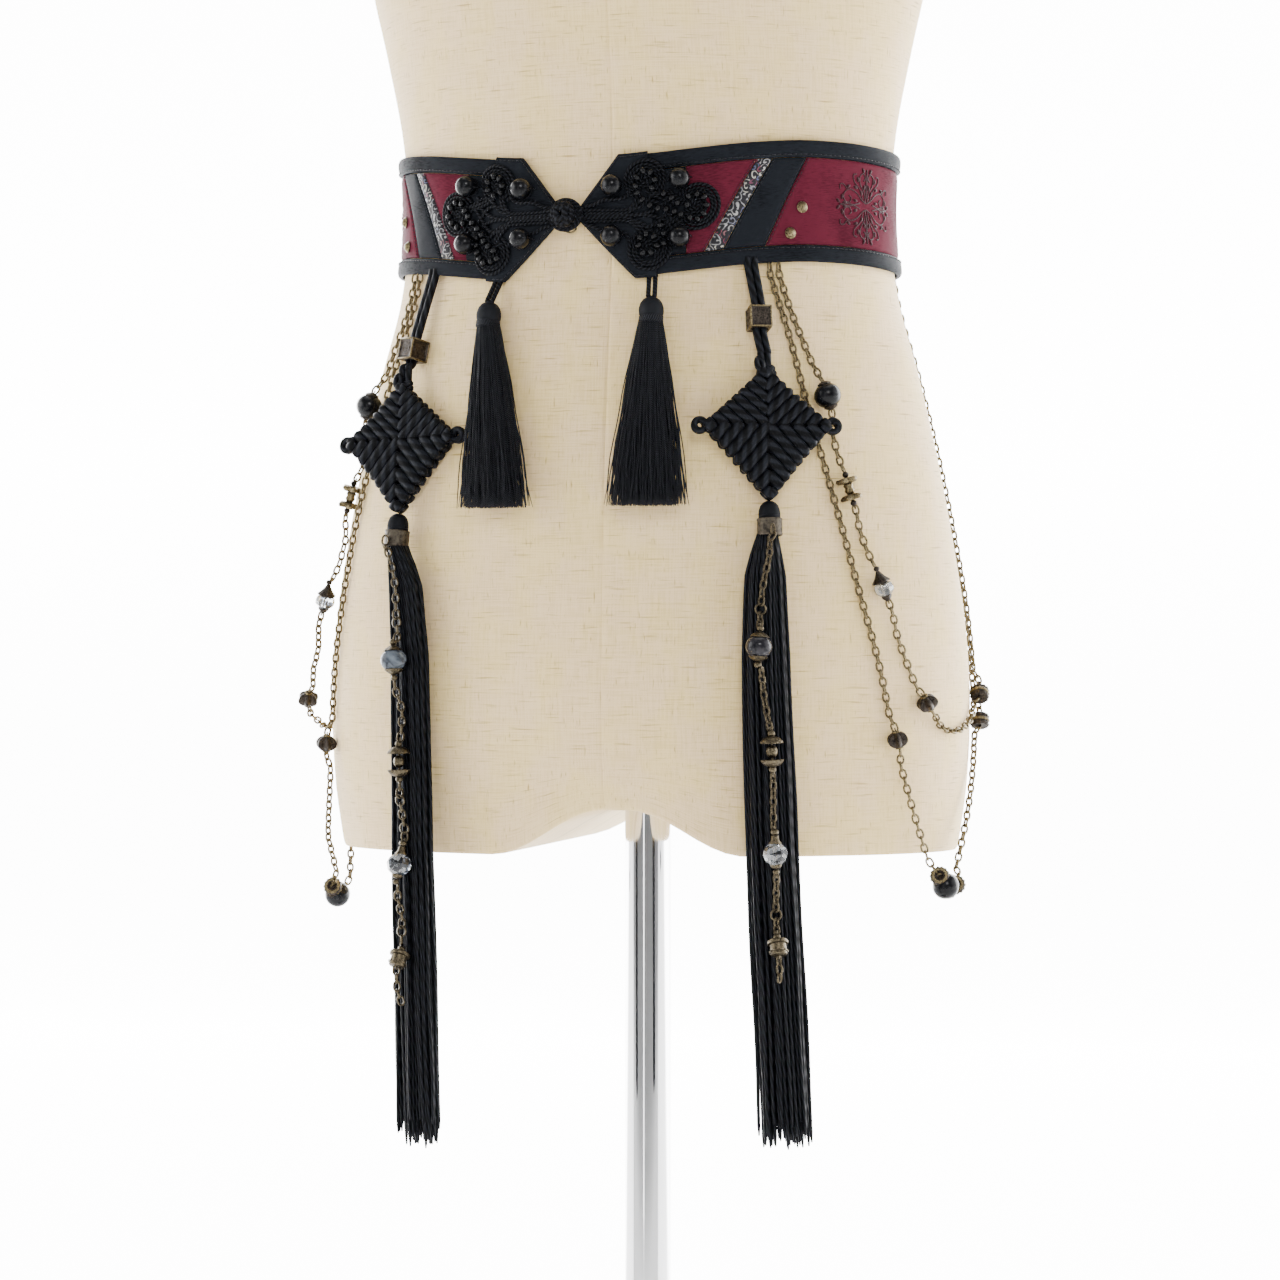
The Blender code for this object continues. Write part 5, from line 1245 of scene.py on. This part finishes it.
def knot_core(place):
    """The flat core that the ribs lie on."""
    slab = ((0, knot_up), (knot_wide, 0), (0, -knot_down), (-knot_wide, 0))
    points = [place @ Vector((core_share * x, y, core_share * z))
              for y in (-1.6 * mm, 1.8 * mm) for x, z in slab]
    return points, [(0, 1, 2, 3), (7, 6, 5, 4), (0, 4, 5, 1), (1, 5, 6, 2), (2, 6, 7, 3), (3, 7, 4, 0)]


for word, row in hanging.items():
    place = knot_frame(row)
    parts = [shape for sx in (-1, 1) for sz, tall in ((1, knot_up), (-1, knot_down))
             for shape in knot_field(place, sx, sz, tall)]
    parts.append(knot_core(place))
    ear = (knot_wide + 0.55 * ear_radius) / mm
    for sx in (-1, 1):
        for depth, radius in ((-0.5, 2.7), (0.9, 2.6)):
            parts.append(round_cord(lambda a: in_frame(place, sx * ear + radius * math.cos(a), depth,
                                                       radius * math.sin(a)), 24, 1.65 * mm, 10))
    crown = place @ Matrix.Translation((0, 0, knot_up + crown_gap)) @ Matrix.Rotation(math.radians(9), 4, "Z")
    for x in (-leg_shift, leg_shift):
        strand = [in_frame(crown, x * (1 + 0.12 * max(0, -z)), 0.2, z) for z in np.linspace(6.6, -4.6, 12)]
        parts.append(cord_shape(strand, leg_half, 12))
    for x, z, wide, tall, deep in crown_wraps:
        parts.append(round_cord(lambda a: in_frame(crown, x + wide * math.cos(a), deep + 0.9 * math.sin(a),
                                                   z + tall * math.sin(a)), 24, 1.35 * mm, 10))
    make_piece("knotted_diamond_" + word, join(parts), satin_cord, "knot_" + word)

# Long tassels. A wrapped dome and a metal sleeve hold 96 twisted rayon cords about 30 cm long,
# with uneven ends; a few stray to the side.
long_opening = {"left": ((0, 0), (0.03, 0.3), (0.07, 0.57), (0.2, 0.75), (0.45, 0.9), (1, 1)),
                "right": ((0, 0), (0.03, 0.3), (0.07, 0.6), (0.2, 0.8), (0.45, 0.92), (1, 1))}
long_spread, long_skirt, long_head_out, long_height = (13.4 * mm, 6.5 * mm), 8.6 * mm, 4.6 * mm, 16.8
long_head = ((0, 0), (1.6, -0.15), (3.0, -0.9), (4.2, -2.3), (4.9, -4.4), (5.1, -6.2), (5.0, -8.2),
             (4.55, -8.6),
             (4.5, -16.6), (0, -long_height))
sleeve_rows = ((5.0, -16.5), (5.9, -16.5), (6.1, -16.1), (6.1, -15.5), (5.95, -15.2), (5.95, -9.6),
               (6.1, -9.3),
               (6.1, -8.7), (5.9, -8.4), (5.0, -8.4), (5.0, -16.5))
sleeve_brass = antique("dull_brass_metal", (0.062, 0.052, 0.039), (0.026, 0.022, 0.017), 0.45, 0.9, 500)
head_frames, tassel_lines = {}, {}
for word, row in hanging.items():
    tip = knot_frame(row) @ Vector((0, 0, -knot_down - seam_gap))
    out = long_head_out + row["knot_off"] * mm
    place = form_frame(hang_angle(tip.x, tip.z, out), tip.z, out)
    place.translation = tip
    root = in_frame(place, 0, 0, -long_height)

    def line(height, opened, root=root, out=out, row=row):
        start = hang_at(root.x, height, out)
        hung = hang_at(linear(height / mm, row["tassel_line"]) * mm, height, long_skirt)
        return start + (hung - start) * min(1.0, opened * 1.1)

    head_frames[word], tassel_lines[word] = place, line
    paths = skirt_paths(5 + len(word), place, line, row["end_height"] * mm, root_radius=4.6 * mm,
                        floor=-16.2 * mm, count=96, spread=long_spread, opening=long_opening[word],
                        steps=60, ragged=0.04, loose=0.5, frill=0.4 * mm)
    head = wrapped_head(long_head, place, 4.9, 2, -7.0, -7.9)
    make_piece("long_tassel_cords_" + word, join([thread_bundle(paths, 0.86 * mm, 6), *head]), satin_cord,
               "long_tassel_" + word)
    make_piece("metal_sleeve_" + word, turn_on_lathe(sleeve_rows, 48, place), sleeve_brass, "band_" + word,
               sharp=40)

# Chains. Brass cable chain with glass, stone and bronze beads: one strand down the front of each
# long tassel, and two swags on each side from the front of the band round to its back.
chain_radius, closure_angle = 1.6 * mm, -10.3
link_pitch, jump_half, pin_reach, pin_half, shortest_pin = 3.75 * mm, 1.9 * mm, 1.6 * mm, 0.42 * mm, 4 * mm
pendant_length = {"left": 224 * mm, "right": 214 * mm}
jump_rings = {"left": (0.2006, 0.593, 0.655, 0.881), "right": (0.1927, 0.884)}

# Each bead: its kind, half its width, half its length, and its share of the way on the left and right.
chain_beads = {
    "pendant": (("stone", 6.2, 5.6, 0.287, 0.2805), ("discs", 5.0, 8.5, 0.510, 0.517),
                ("crystal", 5.8, 5.6, 0.735, 0.746), ("cylinder", 5.2, 4.0, 0.943, 0.958)),
    "upper": (("black", 6.0, 5.6, 0.128, 0.128), ("rosettes", 4.6, 6.0, 0.221, 0.221),
              ("clear", 4.6, 7.0, 0.329, 0.321), ("swirl", 4.4, 4.0, 0.437, 0.442),
              ("drum", 4.4, 3.4, 0.59, 0.59)),
    "lower": (("swirl", 4.2, 4.0, 0.355, 0.365), ("ring", 4.2, 2.6, 0.480, 0.478),
              ("black", 6.0, 5.2, 0.490, 0.488),
              ("ring", 4.2, 2.6, 0.500, 0.507), ("drum", 4.4, 3.4, 0.653, 0.653)),
}

# The way of each swag: degrees round the form from the closure, and height.
swag_starts = {
    ("upper", "left"): ((49.0, 966), (50.6, 945), (54.0, 918), (55.6, 903), (56.9, 880)),
    ("upper", "right"): ((48.9, 966), (51.2, 945), (54.6, 918), (56.0, 903), (57.1, 880)),
    ("lower", "left"): ((46.2, 966), (47.8, 940), (50.2, 905), (52.2, 880), (55.0, 845), (56.0, 812),
                        (57.6, 780),
                        (59.6, 745), (63.8, 710), (73.0, 679), (77.0, 665.5), (80.5, 660.5), (84.0, 664),
                        (90.6, 690)),
    ("lower", "right"): ((46.6, 966), (49.2, 940), (51.3, 905), (53.2, 880), (56.0, 845), (58.6, 812),
                         (61.8, 780),
                         (65.2, 745), (70.0, 712), (75.5, 683), (78.5, 672.5), (81.5, 669.5), (84.5, 673),
                         (90.6, 694)),
}
swag_ends = {
    "upper": ((58.7, 857), (61.5, 832), (64.3, 810), (69.0, 780), (74.3, 758), (80.0, 748.5), (85.0, 746),
              (92.0, 748),
              (100.0, 755), (107.0, 768), (110.5, 790), (112.5, 830), (114.5, 880), (116.5, 925),
              (118.0, 966)),
    "lower": ((99.0, 722), (107.5, 751), (113.8, 790), (116.4, 830), (118.4, 880), (120.4, 925),
              (121.8, 966)),
}
chain_swing = {("upper", "left"): ((58, 0.0), (64.5, 2.5), (70, 8.0), (95, 8.0), (108, 0.0)),
               ("lower", "left"): ((69, 0.0), (76, -4.0), (80.5, -6.5), (85, -4.5), (90, 0.0))}


def both_ends(finish, rows, sides, lobes=0):
    """A part of a bead and the same part turned over at the bead's other end."""
    return [(finish, rows, sides, lobes), (finish, [(r, -z) for r, z in reversed(rows)], sides, lobes)]


# Each bead as turned parts: finish, rows of radius and height in millimetres, sides, and lobes.
bead_models = {
    "black": [("glass", ball_rows(6.5, 6.1, 18, 0.8), 32, 0),
              *both_ends("bronze", [(0, 4.9), (3.2, 5.3), (3.4, 5.8), (2.2, 6.6), (1.0, 7.0), (0, 7.0)], 24,
                         8)],
    "ring": [("bronze", [(0, -0.8), (1.6, -1.0), (2.1, -2.1), (3.3, -2.4), (4.3, -1.6), (4.6, 0), (4.3, 1.6),
                         (3.3, 2.4), (2.1, 2.1), (1.6, 1.0), (0, 0.8)], 24, 0),
             ("brass", [(2.6, -2.5), (3.3, -2.65), (3.9, -2.3), (3.3, -2.1), (2.6, -2.5)], 24, 12),
             ("brass", [(4.2, -0.5), (4.75, -0.4), (4.75, 0.4), (4.2, 0.5), (4.2, -0.5)], 28, 14)],
    "swirl": [("bronze", ball_rows(4.6, 4.0, 14, 1.0), 48, 6),
              *both_ends("brass", [(1.0, 3.6), (2.0, 3.7), (2.0, 4.2), (1.0, 4.3), (1.0, 3.6)], 14)],
    "drum": [("bronze", [(0.8, -3.1), (3.8, -3.2), (4.5, -2.6), (4.6, -1.9), (4.2, -1.5), (4.2, 1.5),
                         (4.6, 1.9),
                         (4.5, 2.6), (3.8, 3.2), (0.8, 3.1), (0.8, -3.1)], 32, 12),
             ("brass", [(4.1, -0.8), (4.7, -0.5), (4.7, 0.5), (4.1, 0.8), (4.1, -0.8)], 32, 16)],
    "clear": [("crystal", [(0, -4.4), (2.2, -4.3), (4.6, -2.2), (4.9, -0.3), (4.4, 1.6), (2.2, 2.8),
                           (0, 2.9)], 8, 0),
              ("bronze", [(0, 2.6), (4.3, 2.7), (4.3, 3.3), (2.6, 5.2), (1.3, 7.4), (0.9, 8.4), (0, 8.4)],
               24, 8),
              ("bronze", [(0, -6.6), (0.9, -6.6), (2.2, -5.2), (2.6, -4.3), (2.4, -3.9), (0, -3.9)], 20, 8),
              ("bronze", ball_rows(1.5, 1.3, middle=9.6), 12, 0)],
    "stone": [("stone", ball_rows(6.35, 5.7, 18, 0.8), 36, 0),
              *both_ends("brass", [(0, 4.5), (3.9, 4.3), (4.6, 4.6), (3.4, 5.8), (1.6, 6.9), (0, 7.0)], 30,
                         6),
              *both_ends("brass", ball_rows(1.7, 1.5, middle=8.6), 14)],
    "discs": [*both_ends("brass", [(0, 7.4), (1.5, 7.3), (3.6, 6.4), (4.9, 5.0), (5.3, 4.1), (5.0, 3.8),
                                   (4.0, 4.6),
                                   (2.0, 5.3), (0, 5.5)], 30, 15),
              ("brass", [(0, -3.0), (1.5, -2.7), (2.4, -1.4), (2.7, 0), (2.4, 1.4), (1.5, 2.7), (0, 3.0)],
               20, 8),
              *both_ends("brass", ball_rows(1.8, 1.7, middle=8.4), 14)],
    "crystal": [("crystal", [(0, -5.3), (2.4, -5.2), (4.9, -3.2), (6.1, 0), (4.9, 3.2), (2.4, 5.2),
                             (0, 5.3)], 10, 0),
                ("brass", [(0, 4.4), (2.8, 4.6), (2.9, 5.2), (2.0, 6.4), (1.6, 8.6), (0, 8.8)], 20, 8),
                ("brass", ball_rows(2.0, 1.6, middle=10.3), 14, 0),
                ("brass", [(0, -6.9), (1.9, -6.6), (2.7, -5.3), (2.5, -4.8), (0, -4.7)], 20, 8),
                ("brass", ball_rows(1.6, 1.4, middle=-8.4), 14, 0)],
    "cylinder": [("brass", [(0, -3.6), (3.6, -3.6), (3.9, -3.3), (3.9, 1.6), (4.9, 1.8), (5.1, 2.6),
                            (4.9, 3.4),
                            (3.9, 3.6), (0, 3.6)], 28, 0),
                 ("brass", [(3.7, -2.4), (4.4, -2.2), (4.4, -1.6), (3.7, -1.4), (3.7, -2.4)], 28, 14),
                 ("brass", ball_rows(1.9, 1.6, middle=5.4), 14, 0)],
    "rosettes": [*both_ends("brass", [(0, 2.4), (1.8, 2.6), (3.8, 3.0), (4.7, 4.2), (4.3, 5.3), (2.9, 5.0),
                                      (1.6, 4.2),
                                      (0.9, 5.6), (0, 5.8)], 40, 5),
                 ("brass", [(0, -2.8), (1.5, -2.4), (2.2, -0.8), (1.7, 0.6), (2.3, 1.8), (1.4, 2.8),
                            (0, 2.9)], 18, 5),
                 *both_ends("bronze", ball_rows(1.6, 1.5, middle=7.0), 12)],
}
lobe_depths = {"swirl": 0.2, "rosettes": 0.24}


def cut_crystal():
    """Clear cut glass with fine marks; its colour is painted dark and near white in random cells, as painted
    reflections in the facets.
    """
    made, shader = new_finish("cut_crystal", (0.8, 0.8, 0.8), 0.03,
                              more={"IOR": 1.5, "Transmission Weight": 0.8})
    place = in_the_round(shader)
    marks = noise(shader, place, 500.0)
    relief(shader, marks, 0.06, 0.0002)
    drive(shader, "Roughness", marks, (0.3, 0.02), (0.8, 0.07))
    cells = add_node(shader, "TexVoronoi", {"Vector": place, "Scale": 420.0}, voronoi_dimensions="3D")
    # Painted reflection: random cells of the colour are painted dark and near white, in place of the facets'
    # reflections.
    painted_facet_glints = add_node(shader, "SeparateColor", {"Color": cells.outputs["Color"]}).outputs[0]
    drive(shader, "Base Color", painted_facet_glints, (0.4, (0.03, 0.035, 0.045)), (0.5, (0.6, 0.64, 0.68)),
          (0.75, (0.95, 0.97, 0.98)))
    return made, "black_bead"


def beads_on(level, word, length):
    """A chain's beads: the place of each on it, half its width, half its length, and its kind."""
    share = {"left": 3, "right": 4}[word]
    return [(row[share] * length, row[1] * mm, row[2] * mm, row[0]) for row in chain_beads[level]]


def raised_for(place, beads):
    """How far the middle of a chain stands off its ground for its beads."""
    raised = chain_radius
    for centre, wide, half, _ in beads:
        ease = max(0.0, 1 - max(0.0, abs(place - centre) - half) / (2.5 * half))
        raised = max(raised, chain_radius + (wide - chain_radius) * ease * ease * (3 - 2 * ease))
    return raised


def link_shape(wide, tall, straight, wire):
    """One link of round wire, its half width, half height and straight part in millimetres."""
    return round_cord(lambda a: Vector((wide * math.cos(a), 0, tall * math.sin(a)
                                        + math.copysign(straight, math.sin(a)))) * mm, 14, wire * mm, 6)


def string_chain(name, node, points, outward, before, beads, finishes, rings=()):
    """Links, beads and jump rings along a line of points, the links in place of the chain's solid.

    outward points away from the form at each point, before is how much line lies ahead of the
    first place, and finishes gives each of the chain's finishes by its name.
    """
    run, points = run_along(points)
    outward = np.array([tuple(o) for o in outward], float)

    def spot(x, rows=points):
        return Vector([np.interp(x, run, rows[:, k]) for k in range(3)])

    def set_on(x, roll=0.0):
        return set_at(spot(x), spot(x + 0.6 * mm) - spot(x - 0.6 * mm), spot(x, outward), roll)

    by_finish, taken = {"brass": []}, []
    for centre, _, _, kind in beads:
        centre += before
        seat = set_on(centre)
        if kind == "ring":
            seat = set_at(seat.translation, (0.1, -1, 0.25), (0, 0, 1))
        seat = seat @ Matrix.Rotation(math.pi, 4, "X")
        depth = lobe_depths.get(kind, 0.06)
        for finish, rows, sides, lobes in bead_models[kind]:
            part = turn_on_lathe(rows, sides, seat, lobes=lobes, lobe_depth=depth if lobes else 0)
            by_finish.setdefault(finish, []).append(part)
        heights = [z * mm for _, rows, _, _ in bead_models[kind] for _, z in rows]
        taken.append((centre - max(heights), centre - min(heights)))
    taken += [(before + x - jump_half, before + x + jump_half) for x in rings]
    links, x = [], 0.0
    for low, high in [*sorted(taken), (run[-1], None)]:
        count = max(1, int(round((low - x) / link_pitch)))
        for k in range(count):
            roll = math.radians(45 if len(links) % 2 else -45)
            links.append(set_on(x + (low - x) * (k + 0.5) / count, roll))
        x = high
    metal = [repeat_shape(link_shape(1.5, 1.95, 0.4, 0.54), links)]
    if rings:
        metal.append(repeat_shape(link_shape(2.5, 2.5, 0.0, 0.5), [set_on(before + x) for x in rings]))
    for low, high in sorted(taken):
        if high - low >= shortest_pin:
            pin = [spot(x) for x in np.linspace(low - pin_reach, high + pin_reach, 9)]
            metal.append(cord_shape(pin, pin_half, 6))
    metal += by_finish.pop("brass")
    make_piece(name + "_links", join(metal)[:2], finishes["brass"], node, sharp=60)
    for finish, parts in by_finish.items():
        edge = 20 if finish == "crystal" else 40
        make_piece(f"{name}_{finish}", join(parts)[:2], finishes[finish], sharp=edge)


def pendant_line(word, beads):
    """The way of a pendant chain over its tassel: points and which way is out."""
    row, place, line = hanging[word], head_frames[word], tassel_lines[word]
    root = in_frame(place, 0, 0, -long_height)
    rise = (long_height - 8.2 - 3.9) * mm
    points, outward = [], []
    for x in (k * pendant_length[word] / 210 for k in range(211)):
        raised = raised_for(x, beads)
        if x < rise + 1 * mm:
            points.append(place @ Vector((0, -6 * mm - raised, rise - long_height * mm - x)))
            outward.append(place.to_3x3() @ Vector((0, -1, 0)))
            continue
        z = root.z + rise - x
        opened = linear((x - rise) / (root.z - row["end_height"] * mm), long_opening[word])
        middle = line(z, opened)
        angle = hang_angle(middle.x, z, long_skirt)
        normal = on_form(angle, max(z, hip_height), 1.0) - on_form(angle, max(z, hip_height))
        front = 4.6 * mm + (long_spread[1] - 4.6 * mm) * opened + 1.0 * mm
        shift = Vector((linear(z / mm, row["pendant_shift"]) * mm, 0, 0))
        points.append(middle + shift + normal * (front + raised))
        outward.append(normal)
    return points, outward


def swag_line(level, word, side):
    """The way of a swag round the form: points, which way is out, and the swag's beads."""
    route = smooth_line(swag_starts[level, word] + swag_ends[level], 24)
    angles = [math.radians(closure_angle + side * turn) for turn, _ in route]
    run, _ = run_along([hang_point(a, z * mm, 4 * mm) for a, (_, z) in zip(angles, route)])
    beads = beads_on(level, word, run[-1])
    swing = chain_swing.get((level, word), ((0, 0.0), (1, 0.0)))
    points = [hang_point(a, z * mm, (0.5 + linear(turn, swing)) * mm + raised_for(x, beads))
              for a, (turn, z), x in zip(angles, route, run)]
    outward = [on_form(a, 1.0, 1.0) - on_form(a, 1.0) for a in angles]
    first, last = [on_form(angles[end], (route[end][1] + 4.5) * mm, 2.3 * mm) for end in (0, -1)]
    return [first, *points, last], [outward[0], *outward, outward[-1]], beads


aged_brass = antique("aged_brass_metal", (0.092, 0.075, 0.047), (0.009, 0.0075, 0.006), 0.3, 1.0, 1500)
stones = {"left": glass("banded_stone", (0.13, 0.155, 0.185), (0.018, 0.021, 0.028), 0.16, 130),
          "right": glass("dark_stone", (0.030, 0.028, 0.032), (0.006, 0.006, 0.008), 0.14, 170)}
finishes = {"glass": black_glass, "brass": old_brass, "bronze": dark_bronze, "crystal": cut_crystal()}
for word, side in sides:
    length = pendant_length[word]
    beads = beads_on("pendant", word, length)
    string_chain("pendant_" + word, "pendant_chain_" + word, *pendant_line(word, beads), 0.0, beads,
                 {**finishes, "brass": aged_brass, "stone": stones[word]},
                 [share * length for share in jump_rings[word]])
    for level in ("upper", "lower"):
        points, outward, beads = swag_line(level, word, side)
        string_chain(f"{level}_swag_{word}", f"{level}_chain_{word}", points, outward, 4.7 * mm, beads,
                     finishes)
